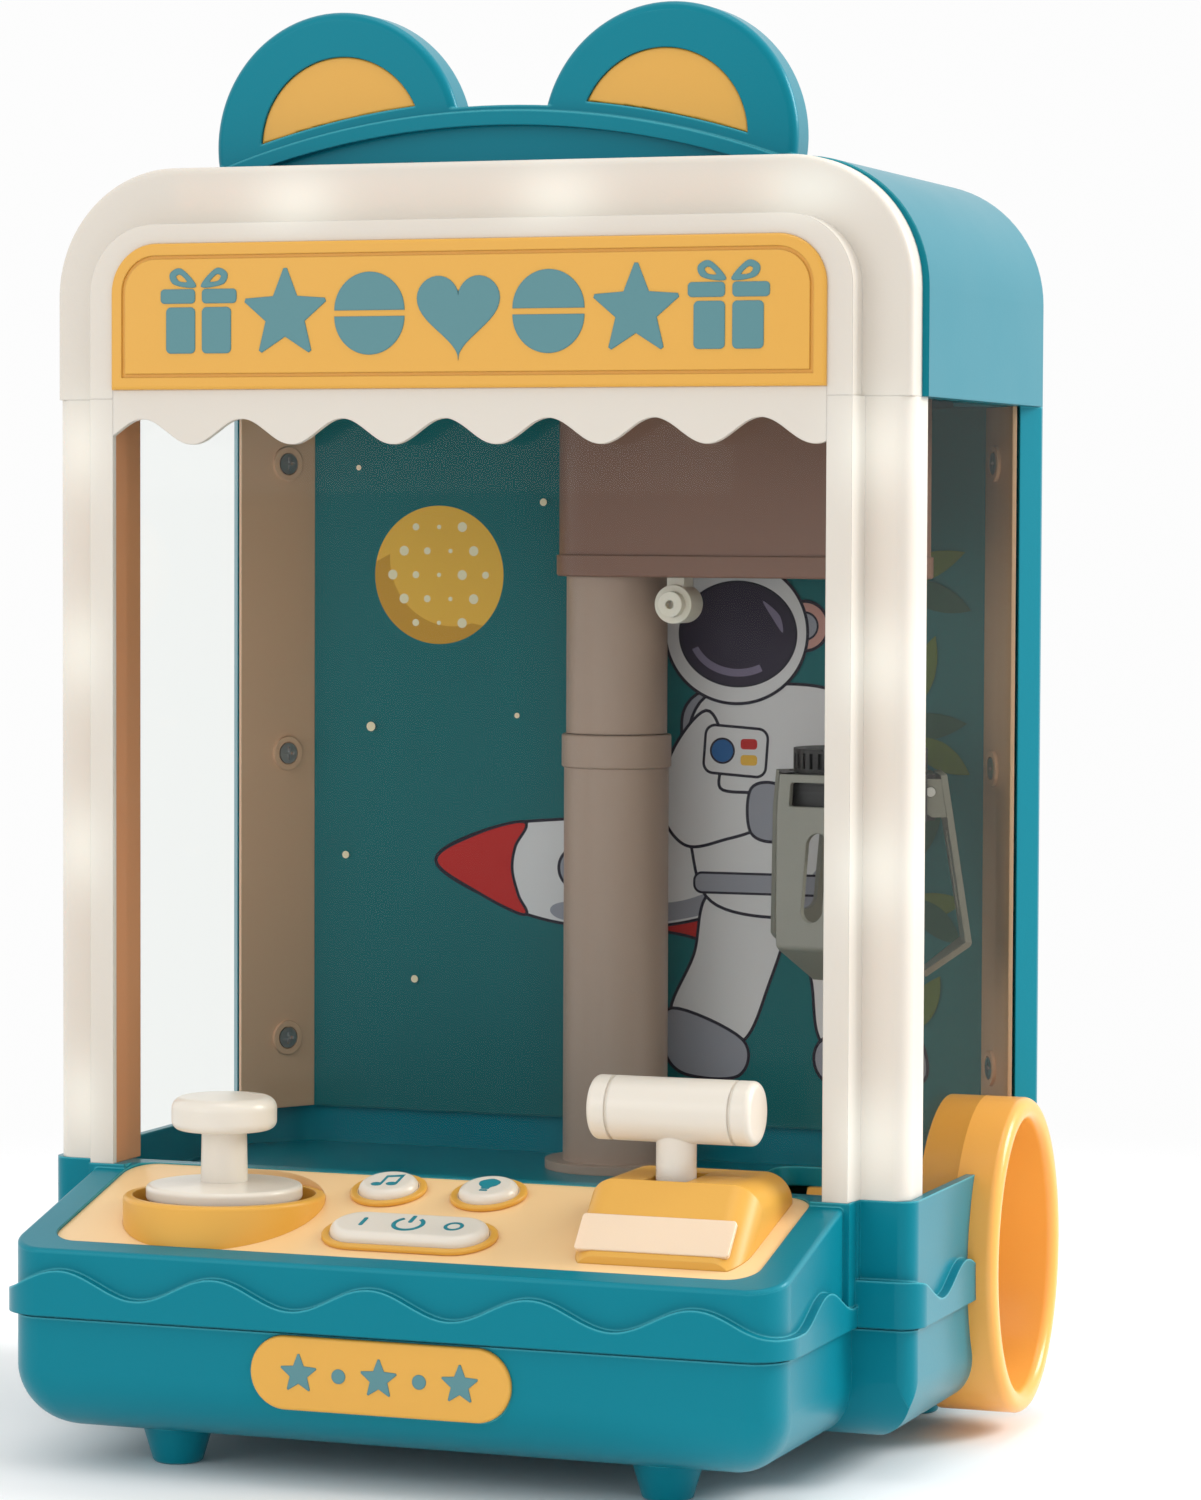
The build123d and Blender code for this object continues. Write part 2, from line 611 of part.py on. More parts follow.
save(coin_housing, "coin_housing")

with BuildPart() as coin_window:
    with BuildSketch(window_plane.offset(-0.8)):
        with Locations((0, 7.2)):
            RectangleRounded(41, 11, 1)
    extrude(amount=1.2)
    fillet(coin_window.faces().sort_by(lambda f: f.center().dot(lean))[-1].edges(), 0.3)
save(coin_window, "coin_window")

with BuildPart() as lever_pin:
    add(pivot_rod(LEVER_PIN, LUG_INNER + 1.8, (1, 0, 0), (LEVER_X, LEVER_Y, LEVER_PIVOT_Z)))
save(lever_pin, "lever_pin")

HEAD_LENGTH, HEAD_RADIUS, GROOVE = 44.0, 8.3, 0.5
with BuildPart() as lever:
    with BuildSketch(Plane.XY.offset(LEVER_PIVOT_Z - 2.5)):
        with Locations((LEVER_X, LEVER_Y)):
            Circle(LEVER_STEM)
    extrude(amount=LEVER_HEAD_Z - LEVER_PIVOT_Z + 2.5)
    add(pivot_rod(HEAD_RADIUS, HEAD_LENGTH / 2, (1, 0, 0), (LEVER_X, LEVER_Y, LEVER_HEAD_Z)))
    head_ends = lever.edges().filter_by(GeomType.CIRCLE).filter_by(lambda e: abs(e.radius - HEAD_RADIUS) < 0.01)
    fillet(head_ends, 1.8)
    for side in (-1, 1):
        with BuildSketch(Plane.YZ.offset(LEVER_X + side * (HEAD_LENGTH / 2 - 5.5))):
            with Locations((LEVER_Y, LEVER_HEAD_Z)):
                Circle(HEAD_RADIUS + 1)
                Circle(HEAD_RADIUS - GROOVE, mode=Mode.SUBTRACT)
        extrude(amount=0.4, both=True, mode=Mode.SUBTRACT)
    add(pivot_rod(LEVER_PIN + RUNNING_FIT, 8, (1, 0, 0), (LEVER_X, LEVER_Y, LEVER_PIVOT_Z)), mode=Mode.SUBTRACT)
save(lever, "lever")

# ---- white front frame ----------------------------------------------------------------------------------------------
def column_outline(side, inset=0.0):
    """Leg of the front frame from above; side is -1 for the left leg and 1 for the right one."""
    with BuildSketch() as outline:
        with BuildLine():
            Polyline(
                (side * LIP_INNER, 0), (side * LIP_OUTER, 0), (side * (LIP_OUTER + 1), BODY_FRONT),
                (side * FRAME_HALF_WIDTH, BODY_FRONT), (side * FRAME_HALF_WIDTH, FLANGE_BACK),
                (side * 111, FLANGE_BACK),
                (side * 104.5, LIP_BACK), (side * LIP_INNER, LIP_BACK), close=True,
            )
        make_face()
        corner = outline.vertices().sort_by_distance((side * FRAME_HALF_WIDTH, BODY_FRONT))[0]
        fillet(corner, 4)
        if inset:
            offset(amount=-inset, kind=Kind.INTERSECTION)
    return outline.sketch


def liner_zone(side):
    """Inner and rear side of a leg from above: the part that its tan liner makes."""
    with BuildSketch() as zone:
        with BuildLine():
            Polyline(
                (side * (LIP_INNER - 1), FRAME_SKIN), (side * (LIP_INNER + FRAME_SKIN), FRAME_SKIN),
                (side * (LIP_INNER + FRAME_SKIN), 12), (side * 106, 12), (side * 113, 22), (side * 113, 30),
                (side * 90, 30), close=True,
            )
        make_face()
    return zone.sketch


for side, side_name in ((-1, "left"), (1, "right")):
    with BuildPart() as column:
        with BuildSketch(Plane.XY.offset(COLLAR_TOP)):
            add(column_outline(side))
            add(column_outline(side, FRAME_SKIN), mode=Mode.SUBTRACT)
            add(liner_zone(side), mode=Mode.SUBTRACT)
        extrude(amount=SEAM - COLLAR_TOP)
    save(column, f"front_column_{side_name}")
    with BuildPart() as liner:
        with BuildSketch(Plane.XY.offset(COLLAR_TOP)):
            add(column_outline(side))
            add(column_outline(side, FRAME_SKIN), mode=Mode.SUBTRACT)
            add(liner_zone(side), mode=Mode.INTERSECT)
        extrude(amount=SEAM - COLLAR_TOP)
    save(liner, f"column_liner_{side_name}")

LIP_INSET = HALF_WIDTH - LIP_OUTER
ARCH_FLANGE_BACK = 16.0

with BuildPart() as arch_frame:
    with BuildSketch(facing(BODY_FRONT)):
        add(arch_outline(half_width=FRAME_HALF_WIDTH))
        add(arch_outline(LIP_INSET + 0.5), mode=Mode.SUBTRACT)
    extrude(amount=-FRAME_SKIN)
    with BuildSketch(facing(BODY_FRONT)):
        add(arch_outline(half_width=FRAME_HALF_WIDTH))
        add(arch_outline(FRAME_SKIN, FRAME_HALF_WIDTH), mode=Mode.SUBTRACT)
    extrude(amount=BODY_FRONT - ARCH_FLANGE_BACK)
    front_rim = arch_frame.faces().sort_by(Axis.Y)[0].edges()
    fillet(front_rim.filter_by(lambda e: e.center().Z > SEAM + 1 and
           (abs(e.center().X) > HALF_WIDTH - 14 or e.center().Z > CABINET_TOP - 10)), 1.8)
    with BuildSketch(facing(0)):
        add(arch_outline(LIP_INSET))
        add(sign_outline(), mode=Mode.SUBTRACT)
        with Locations((0, SEAM)):
            Rectangle(2 * LIP_INNER, 10, align=(Align.CENTER, Align.MIN), mode=Mode.SUBTRACT)
    extrude(amount=-FRAME_SKIN)
    with BuildSketch(facing(0)):
        add(arch_outline(LIP_INSET))
        add(arch_outline(LIP_INSET + FRAME_SKIN), mode=Mode.SUBTRACT)
    extrude(amount=-BODY_FRONT - FRAME_SKIN)
save(arch_frame, "arch_frame")

SIGN_FRONT = -1.4
with BuildPart() as sign_panel:
    with BuildSketch(facing(SIGN_FRONT)):
        add(sign_outline())
    extrude(amount=SIGN_FRONT - 3)
    fillet(sign_panel.faces().sort_by(Axis.Y)[0].edges(), 0.9)
    with BuildSketch(facing(SIGN_FRONT - 1)):
        add(sign_outline(3.2))
        add(sign_outline(4.2), mode=Mode.SUBTRACT)
    extrude(amount=-1.6, mode=Mode.SUBTRACT)
save(sign_panel, "sign_panel")

SCALLOP_PERIOD, SCALLOP_MEAN, SCALLOP_SWING, SCALLOP_LOBE = 28.9, 269.8, 3.4, 10.0
scallop_steps = 56
scallop_points = [
    (x, SCALLOP_MEAN - SCALLOP_SWING * cos(2 * pi * (x - SCALLOP_LOBE) / SCALLOP_PERIOD))
    for x in (-LIP_INNER + 2 * LIP_INNER * i / scallop_steps for i in range(scallop_steps + 1))
]
with BuildPart() as valance:
    with BuildSketch(facing(0)):
        with BuildLine():
            Spline(*scallop_points)
            Polyline(scallop_points[-1], (LIP_INNER, 281), (-LIP_INNER, 281), scallop_points[0])
        make_face()
    extrude(amount=-FRAME_SKIN)
save(valance, "valance")

with BuildPart() as led_strips:
    for side in (-1, 1):
        with BuildSketch(Plane.XY.offset(COLLAR_TOP + 4)):
            with Locations((side * 113, BODY_FRONT + FRAME_SKIN + 3)):
                Rectangle(8, 1.2)
        extrude(amount=SEAM - COLLAR_TOP - 8)
        with BuildSketch(facing(BODY_FRONT + FRAME_SKIN + 2.4)):
            with Locations((side * 113, (COLLAR_TOP + SEAM) / 2)):
                with GridLocations(0, 40, 1, 5):
                    RectangleRounded(4, 5, 0.8)
        extrude(amount=1.4)
    with BuildSketch(facing(BODY_FRONT + FRAME_SKIN)):
        with Locations((0, CABINET_TOP - LIP_INSET / 2)):
            Rectangle(170, 8)
    extrude(amount=-1.2)
save(led_strips, "led_strips")

# ---- roof and ears --------------------------------------------------------------------------------------------------
BULGE_TOP = 300.0
LEDGE = 2.4
with BuildPart() as roof_shell:
    with BuildSketch(facing(ARCH_FLANGE_BACK)):
        add(arch_outline())
        add(arch_outline(WALL), mode=Mode.SUBTRACT)
    extrude(amount=ARCH_FLANGE_BACK - SIDE_REAR)
    with BuildSketch(facing(SIDE_REAR - WALL)):
        add(arch_outline())
        with Locations((0, SEAM)):
            Rectangle(2 * (REAR_HALF_WIDTH - 8), BULGE_TOP - WALL - SEAM, align=(Align.CENTER, Align.MIN),
                      mode=Mode.SUBTRACT)
    extrude(amount=-WALL)
    for side in (-1, 1):                                            # ledges over the side windows
        with BuildSketch(Plane.XY.offset(SEAM)):
            with Locations((side * (SIDE_GLASS_X - 1 + HALF_WIDTH) / 2, (FLANGE_BACK + SIDE_REAR) / 2)):
                Rectangle(HALF_WIDTH - SIDE_GLASS_X + 1, SIDE_REAR - FLANGE_BACK)
        extrude(amount=LEDGE)
save(roof_shell, "roof_shell")

EAR_X, EAR_Z, EAR_RADIUS = 47.0, 347.0, 35.5
EAR_FRONT, EAR_THICK = 28.0, 12.0
INSERT_RADIUS = 23.5
BROW_HALF_WIDTH, BROW_TOP = 85.0, 356.5
BROW_RISE = BROW_TOP - CABINET_TOP
BROW_RADIUS = (BROW_HALF_WIDTH**2 + BROW_RISE**2) / (2 * BROW_RISE)


def brow_outline(rise=0.0):
    """Low arched segment that joins the ears, raised or lowered by rise."""
    with BuildSketch() as outline:
        with Locations((0, BROW_TOP - BROW_RADIUS + rise)):
            Circle(BROW_RADIUS)
        with Locations((0, CABINET_TOP)):
            Rectangle(400, 100, align=(Align.CENTER, Align.MIN), mode=Mode.INTERSECT)
    return outline.sketch


def insert_outline(inset=0.0):
    """Half-disc recess in an ear, above the brow."""
    with BuildSketch() as outline:
        with Locations((-EAR_X + 1.4, EAR_Z), (EAR_X - 1.4, EAR_Z)):
            Circle(INSERT_RADIUS - inset)
        with Locations((0, BROW_TOP - BROW_RADIUS + 1.6 + inset)):
            Circle(BROW_RADIUS, mode=Mode.SUBTRACT)
    return outline.sketch


with BuildPart() as ear_crown:
    with BuildSketch(facing(EAR_FRONT)):
        with Locations((-EAR_X, EAR_Z), (EAR_X, EAR_Z)):
            Circle(EAR_RADIUS)
        with Locations((0, CABINET_TOP)):
            Rectangle(400, 100, align=(Align.CENTER, Align.MIN), mode=Mode.INTERSECT)
        add(brow_outline())
    extrude(amount=-EAR_THICK)
    fillet(ear_crown.edges().filter_by(GeomType.CIRCLE).filter_by(lambda e: e.radius < 40), 2.2)
    with BuildSketch(facing(EAR_FRONT)):
        add(insert_outline())
    extrude(amount=-3, mode=Mode.SUBTRACT)
    with BuildSketch(facing(EAR_FRONT - 3.5)):
        add(brow_outline(-1.5))
        add(brow_outline(-5.5), mode=Mode.SUBTRACT)
    extrude(amount=-3.5)
save(ear_crown, "ear_crown")

with BuildPart() as ear_inserts:
    with BuildSketch(facing(EAR_FRONT + 0.6)):
        add(insert_outline())
    extrude(amount=-2.4)
    fillet(ear_inserts.faces().sort_by(Axis.Y)[0:2].edges(), 0.6)
save(ear_inserts, "ear_inserts")

# ---- windows, rear frame and backdrop -------------------------------------------------------------------------------
WINDOW_BOTTOM = TRAY_Z + 2.4
PILLAR_Y, BACKDROP_Y = 119.5, 141.5
BACKDROP_HALF_WIDTH = 102.3
PILLAR_RUN = Vector(BACKDROP_HALF_WIDTH - SIDE_GLASS_X, BACKDROP_Y - PILLAR_Y, 0).normalized()

with BuildPart() as front_window:
    with BuildSketch(facing(WINDOW_Y)):
        with Locations((0, COLLAR_TOP)):
            Rectangle(2 * LIP_INNER, 283 - COLLAR_TOP, align=(Align.CENTER, Align.MIN))
    extrude(amount=-GLASS)
    fillet(front_window.edges().filter_by(Axis.Y), 1.5)
save(front_window, "front_window")

for side, side_name in ((-1, "left"), (1, "right")):
    with BuildPart() as side_window:
        with BuildSketch(Plane.YZ.offset(side * (SIDE_GLASS_X + GLASS / 2))):
            with Locations(((FLANGE_BACK + PILLAR_Y) / 2, (WINDOW_BOTTOM + SEAM) / 2)):
                Rectangle(PILLAR_Y - FLANGE_BACK, SEAM - WINDOW_BOTTOM)
            if side == 1:
                add(ring_outline(0.4), mode=Mode.SUBTRACT)
        extrude(amount=GLASS / 2, both=True)
    save(side_window, f"side_window_{side_name}")

rear_points = [
    (SIDE_GLASS_X + GLASS + 0.3, PILLAR_Y + 1.1), (HALF_WIDTH, SIDE_REAR - 1.3), (HALF_WIDTH, SIDE_REAR),
    (REAR_HALF_WIDTH, REAR),
]
inner_points = [(REAR_HALF_WIDTH - 1, REAR - WALL), (HALF_WIDTH - 3.4, SIDE_REAR - 0.6), (116.9, 121.9)]


def rear_wall_outline():
    """Back cover from above: two slanting sides and the rear wall."""
    outside = rear_points + [(-x, y) for x, y in reversed(rear_points)]
    inside = [(-x, y) for x, y in reversed(inner_points)] + inner_points
    with BuildSketch() as outline:
        with BuildLine():
            Polyline(*outside, *inside, close=True)
        make_face()
    return outline.sketch


with BuildPart() as back_cover:
    with BuildSketch(Plane.XY.offset(COLLAR_TOP)):
        add(rear_wall_outline())
    extrude(amount=BULGE_TOP - COLLAR_TOP)
    with BuildSketch(Plane.XY.offset(BULGE_TOP - WALL)):
        with BuildLine():
            Polyline((-HALF_WIDTH, SIDE_REAR), (HALF_WIDTH, SIDE_REAR), (REAR_HALF_WIDTH, REAR),
                     (-REAR_HALF_WIDTH, REAR), close=True)
        make_face()
    extrude(amount=WALL)
    with BuildSketch(Plane.XY.offset(SEAM)):
        with Locations((0, SIDE_REAR)):
            Rectangle(400, 60, align=(Align.CENTER, Align.MAX))
    extrude(amount=100, mode=Mode.SUBTRACT)
    fillet(back_cover.edges().filter_by(Axis.Z).sort_by(Axis.Y)[-2:], 4)
    with BuildSketch(facing(REAR)):                                 # moulded ribs on the back
        with Locations((0, 180)):
            with GridLocations(36, 0, 5, 1):
                SlotOverall(150, 4, rotation=90)
    extrude(amount=-1, mode=Mode.SUBTRACT)
    add(ring_passage.part, mode=Mode.SUBTRACT)
save(back_cover, "back_cover")

PILLAR_SCREW_HEIGHTS = (94.0, 178.0, 263.0)
PILLAR_SCREW_AT = 16.0          # along the pillar from its front edge


def pillar_plane(side, along, height):
    """Plane on a pillar's inner face, with its normal pointing into the cabinet."""
    run = Vector(side * PILLAR_RUN.X, PILLAR_RUN.Y, 0)
    inward = Vector(-side * PILLAR_RUN.Y, PILLAR_RUN.X, 0)
    start = Vector(side * SIDE_GLASS_X, PILLAR_Y, height)
    return Plane(origin=start + run * along, x_dir=(0, 0, 1), z_dir=inward)


PILLAR_WIDTH = hypot(BACKDROP_HALF_WIDTH - SIDE_GLASS_X, BACKDROP_Y - PILLAR_Y)
for side, side_name in ((-1, "left"), (1, "right")):
    with BuildPart() as pillar:
        with BuildSketch(pillar_plane(side, PILLAR_WIDTH / 2, (COLLAR_TOP + SEAM) / 2)):
            Rectangle(SEAM - COLLAR_TOP, PILLAR_WIDTH)
        extrude(amount=-1.2)
        for height in PILLAR_SCREW_HEIGHTS:
            with BuildSketch(pillar_plane(side, PILLAR_SCREW_AT, height)):
                Circle(5)
            extrude(amount=1)
            with BuildSketch(pillar_plane(side, PILLAR_SCREW_AT, height)):
                Circle(3.3)
            extrude(amount=2, mode=Mode.SUBTRACT)
            with BuildSketch(pillar_plane(side, PILLAR_SCREW_AT, height)):
                Circle(SCREW_HOLE)
            extrude(amount=-2, mode=Mode.SUBTRACT)
        add(ring_passage.part, mode=Mode.SUBTRACT)
    save(pillar, f"rear_pillar_{side_name}")

with BuildPart() as pillar_screws:
    for side in (-1, 1):
        for height in PILLAR_SCREW_HEIGHTS:
            with BuildSketch(pillar_plane(side, PILLAR_SCREW_AT, height)):
                Circle(SCREW_HEAD)
            extrude(amount=1)
            with BuildSketch(pillar_plane(side, PILLAR_SCREW_AT, height)):
                Rectangle(0.8, 3.8)
                Rectangle(3.8, 0.8)
            extrude(amount=1, mode=Mode.SUBTRACT)
            with BuildSketch(pillar_plane(side, PILLAR_SCREW_AT, height)):
                Circle(SCREW_SHANK)
            extrude(amount=-2.2)
save(pillar_screws, "pillar_screws")

with BuildPart() as backdrop:
    with BuildSketch(facing(BACKDROP_Y)):
        with Locations((0, (COLLAR_TOP + SEAM) / 2)):
            Rectangle(2 * BACKDROP_HALF_WIDTH, SEAM - COLLAR_TOP)
    extrude(amount=-0.8)
save(backdrop, "backdrop")

# ---- prize tray, drop chute and outlet ring -------------------------------------------------------------------------
HOLE_LEFT, HOLE_RIGHT, HOLE_FRONT, HOLE_BACK = 50.0, 107.0, 66.0, 120.0
HOLE_LIP = 3.0

with BuildPart() as prize_tray:
    with BuildSketch(Plane.XY.offset(TRAY_Z)):
        add(body_outline(WALL))
    extrude(amount=2.4)
    with BuildSketch(Plane.XY.offset(TRAY_Z)):                      # front wall under the window
        with Locations((0, BODY_FRONT + WALL)):
            Rectangle(2 * (HALF_WIDTH - WALL) - 6, 1.6, align=(Align.CENTER, Align.MIN))
    extrude(amount=COLLAR_TOP - TRAY_Z)
    with BuildSketch(Plane.XY.offset(TRAY_Z)):
        with Locations(((HOLE_LEFT + HOLE_RIGHT) / 2, (HOLE_FRONT + HOLE_BACK) / 2)):
            RectangleRounded(HOLE_RIGHT - HOLE_LEFT + 4, HOLE_BACK - HOLE_FRONT + 4, 8)
    extrude(amount=2.4 + HOLE_LIP)
    with BuildSketch(Plane.XY.offset(TRAY_Z - 1)):
        with Locations(((HOLE_LEFT + HOLE_RIGHT) / 2, (HOLE_FRONT + HOLE_BACK) / 2)):
            RectangleRounded(HOLE_RIGHT - HOLE_LEFT, HOLE_BACK - HOLE_FRONT, 6)
    extrude(amount=10, mode=Mode.SUBTRACT)
    add(ring_passage.part, mode=Mode.SUBTRACT)
    with BuildSketch(Plane.XY.offset(TRAY_Z - 4)):                  # boss that guides the slewing shaft
        with Locations(MAST):
            Circle(SHAFT_RADIUS + 3)
    extrude(amount=5)
    with BuildSketch(Plane.XY.offset(TRAY_Z - 5)):
        with Locations(MAST):
            Circle(SHAFT_RADIUS + RUNNING_FIT)
    extrude(amount=10, mode=Mode.SUBTRACT)
save(prize_tray, "prize_tray")

CHUTE_RISE = 0.6
CHUTE_LENGTH = 56.0
CHUTE_Z, CHUTE_HALF_WIDTH, CHUTE_HALF_HEIGHT = 49.0, 28.5, 33.0
with BuildPart() as drop_chute:
    with BuildSketch(Plane.YZ.offset(RING_INNER_X)):
        with Locations((RING_Y, CHUTE_Z)):
            Ellipse(CHUTE_HALF_WIDTH + 2.2, CHUTE_HALF_HEIGHT + 2.2)
            Ellipse(CHUTE_HALF_WIDTH, CHUTE_HALF_HEIGHT, mode=Mode.SUBTRACT)
    extrude(amount=CHUTE_LENGTH, dir=(-1, 0, CHUTE_RISE))
    with BuildSketch(Plane.XY.offset(TRAY_Z)):
        Rectangle(600, 600)
    extrude(amount=120, mode=Mode.SUBTRACT)
save(drop_chute, "drop_chute")

with BuildPart() as chute_ring:
    with BuildSketch(Plane.YZ.offset(RING_INNER_X)):
        add(ring_outline())
        add(ring_outline(-RING_WALL), mode=Mode.SUBTRACT)
    extrude(amount=RING_OUTER_X - RING_INNER_X)
    fillet(chute_ring.faces().sort_by(Axis.X)[-1].edges(), 2.6)
save(chute_ring, "chute_ring")

# ---- inside the base ------------------------------------------------------------------------------------------------
FLOOR = TUB_BOTTOM + WALL
CELL_RADIUS, CELL_LENGTH = 7.2, 50.0
with BuildPart() as battery_box:
    with BuildSketch(Plane.XY.offset(FLOOR)):
        with Locations((BATTERY_X, BATTERY_Y)):
            RectangleRounded(BATTERY_LENGTH, BATTERY_WIDTH, 3)
    extrude(amount=18)
    with BuildSketch(Plane.XY.offset(FLOOR)):
        with Locations((BATTERY_X, BATTERY_Y)):
            RectangleRounded(BATTERY_LENGTH - 4, BATTERY_WIDTH - 4, 2)
    extrude(amount=16, mode=Mode.SUBTRACT)
save(battery_box, "battery_box")

with BuildPart() as batteries:
    for row in (-1, 0, 1):
        cell_y = BATTERY_Y + row * 17
        with BuildSketch(Plane.YZ.offset(BATTERY_X - CELL_LENGTH / 2)):
            with Locations((cell_y, FLOOR + 8)):
                Circle(CELL_RADIUS)
        extrude(amount=CELL_LENGTH - 1.5)
        with BuildSketch(Plane.YZ.offset(BATTERY_X + CELL_LENGTH / 2 - 1.5)):
            with Locations((cell_y, FLOOR + 8)):
                Circle(2.7)
        extrude(amount=1.5)
save(batteries, "batteries")

with BuildPart() as battery_contacts:
    for end in (-1, 1):
        with BuildSketch(Plane.YZ.offset(BATTERY_X + end * 27.4)):
            with Locations((BATTERY_Y, FLOOR + 8)):
                RectangleRounded(50, 11, 2)
        extrude(amount=end * 0.5)
        for row in (-1, 0, 1):
            with BuildSketch(Plane.YZ.offset(BATTERY_X + end * 27.4)):
                with Locations((BATTERY_Y + row * 17, FLOOR + 8)):
                    Circle(3.6)
            with BuildSketch(Plane.YZ.offset(BATTERY_X + end * 25.1)):
                with Locations((BATTERY_Y + row * 17, FLOOR + 8)):
                    Circle(2)
            loft()
save(battery_contacts, "battery_contacts")

with BuildPart() as battery_door:
    with BuildSketch(Plane.XY.offset(TUB_BOTTOM)):
        with Locations((BATTERY_X, BATTERY_Y)):
            RectangleRounded(BATTERY_LENGTH - 4, BATTERY_WIDTH - 4, 3)
    extrude(amount=WALL - 0.6)
    with BuildSketch(Plane.XY.offset(TUB_BOTTOM)):
        with Locations((BATTERY_X, BATTERY_Y)):
            with GridLocations(0, 6, 1, 4):
                SlotOverall(22, 2)
    extrude(amount=0.6, mode=Mode.SUBTRACT)
save(battery_door, "battery_door")

with BuildPart() as loudspeaker:
    with BuildSketch(Plane.XY.offset(FLOOR)):
        with Locations((60, 30)):
            Circle(19)
            Circle(16, mode=Mode.SUBTRACT)
    extrude(amount=3)
    with BuildSketch(Plane.XY.offset(FLOOR + 3)):
        with Locations((60, 30)):
            Circle(19)
    with BuildSketch(Plane.XY.offset(FLOOR + 8)):
        with Locations((60, 30)):
            Circle(10)
    loft()
    with BuildSketch(Plane.XY.offset(FLOOR + 8)):
        with Locations((60, 30)):
            Circle(10)
    extrude(amount=5)
save(loudspeaker, "loudspeaker")

with BuildPart() as base_screws:
    for spot in SCREWS:
        with BuildSketch(Plane.XY.offset(SCREW_SEAT - 2.4)):
            with Locations(spot):
                Circle(SCREW_HEAD)
        extrude(amount=2.4)
        with BuildSketch(Plane.XY.offset(SCREW_SEAT - 2.4)):
            with Locations(spot):
                Rectangle(3.8, 0.8)
                Rectangle(0.8, 3.8)
        extrude(amount=1.2, mode=Mode.SUBTRACT)
        with BuildSketch(Plane.XY.offset(SCREW_SEAT)):
            with Locations(spot):
                Circle(SCREW_SHANK)
        extrude(amount=COLLAR_BOTTOM + 7 - SCREW_SEAT)
save(base_screws, "base_screws")

# ---- crane ----------------------------------------------------------------------------------------------------------
COLLAR_RING_Z, COLLAR_RING_HEIGHT = 176.8, 9.5
GEAR_Z, GEAR_THICK = 44.0, 8.0
MODULE = 1.0
GEAR_TEETH, PINION_TEETH = 36, 16
PINION = (MAST[0] - MODULE * (GEAR_TEETH + PINION_TEETH) / 2, MAST[1])


def gear_outline(centre, teeth, phase):
    """Toothed wheel outline with slim straight teeth; phase turns it, in degrees."""
    pitch = MODULE * teeth / 2
    with BuildSketch() as outline:
        with Locations(centre):
            Circle(pitch - 1.1 * MODULE)
        with Locations(Location((*centre, 0), (0, 0, phase))):
            with PolarLocations(pitch - 0.2 * MODULE, teeth):
                Trapezoid(1.24 * MODULE, 1.9 * MODULE, 78, rotation=-90)
    return outline.sketch


with BuildPart() as mast_lower_tube:
    with BuildSketch(Plane.XY.offset(WINDOW_BOTTOM)):
        with Locations(MAST):
            Circle(20)
    extrude(amount=2.5)
    with BuildSketch(Plane.XY.offset(WINDOW_BOTTOM)):
        with Locations(MAST):
            Circle(MAST_RADIUS)
    extrude(amount=COLLAR_RING_Z - WINDOW_BOTTOM)
    with BuildSketch(Plane.XY.offset(WINDOW_BOTTOM)):
        with Locations(MAST):
            Circle(MAST_RADIUS - 2.2)
    extrude(amount=COLLAR_RING_Z - WINDOW_BOTTOM, mode=Mode.SUBTRACT)
save(mast_lower_tube, "mast_lower_tube")

with BuildPart() as mast_collar:
    with BuildSketch(Plane.XY.offset(COLLAR_RING_Z)):
        with Locations(MAST):
            Circle(MAST_RADIUS + 0.7)
            Circle(SHAFT_RADIUS + RUNNING_FIT, mode=Mode.SUBTRACT)
    extrude(amount=COLLAR_RING_HEIGHT)
    fillet(mast_collar.edges().filter_by(GeomType.CIRCLE).filter_by(lambda e: e.radius > 10), 0.7)
save(mast_collar, "mast_collar")

ARM_TUBE_Z = COLLAR_RING_Z + COLLAR_RING_HEIGHT + 0.15
with BuildPart() as mast_upper_tube:
    with BuildSketch(Plane.XY.offset(ARM_TUBE_Z)):
        with Locations(MAST):
            Circle(MAST_RADIUS - 0.55)
            Circle(SHAFT_RADIUS, mode=Mode.SUBTRACT)
    extrude(amount=ARM_BOTTOM - ARM_TUBE_Z)
save(mast_upper_tube, "mast_upper_tube")

with BuildPart() as slew_shaft:
    with BuildSketch(Plane.XY.offset(GEAR_Z - 4)):
        with Locations(MAST):
            Circle(SHAFT_RADIUS)
    extrude(amount=ARM_BOTTOM - GEAR_Z + 4)
    with BuildSketch(Plane.XY.offset(GEAR_Z)):
        add(gear_outline(MAST, GEAR_TEETH, 0))
    extrude(amount=GEAR_THICK)
save(slew_shaft, "slew_shaft")

with BuildPart() as slew_pinion:
    with BuildSketch(Plane.XY.offset(GEAR_Z - 0.5)):
        add(gear_outline(PINION, PINION_TEETH, 180 / PINION_TEETH))
    extrude(amount=GEAR_THICK + 1)
    with BuildSketch(Plane.XY.offset(GEAR_Z - 8)):
        with Locations(PINION):
            Circle(1.5)
    extrude(amount=10)
save(slew_pinion, "slew_pinion")

with BuildPart() as slew_motor:
    with BuildSketch(Plane.XY.offset(FLOOR)):
        with Locations(PINION):
            Circle(8)
    extrude(amount=2.5)
    with BuildSketch(Plane.XY.offset(FLOOR + 2.5)):
        with Locations(PINION):
            Circle(12)
    extrude(amount=GEAR_Z - 8.5 - FLOOR)
    with BuildSketch(Plane.XY.offset(GEAR_Z - 6)):
        with Locations(PINION):
            Circle(4)
    extrude(amount=2)
    with BuildSketch(Plane.XY.offset(GEAR_Z - 9)):
        with Locations(PINION):
            Circle(1.5 + RUNNING_FIT)
    extrude(amount=6, mode=Mode.SUBTRACT)
save(slew_motor, "slew_motor")

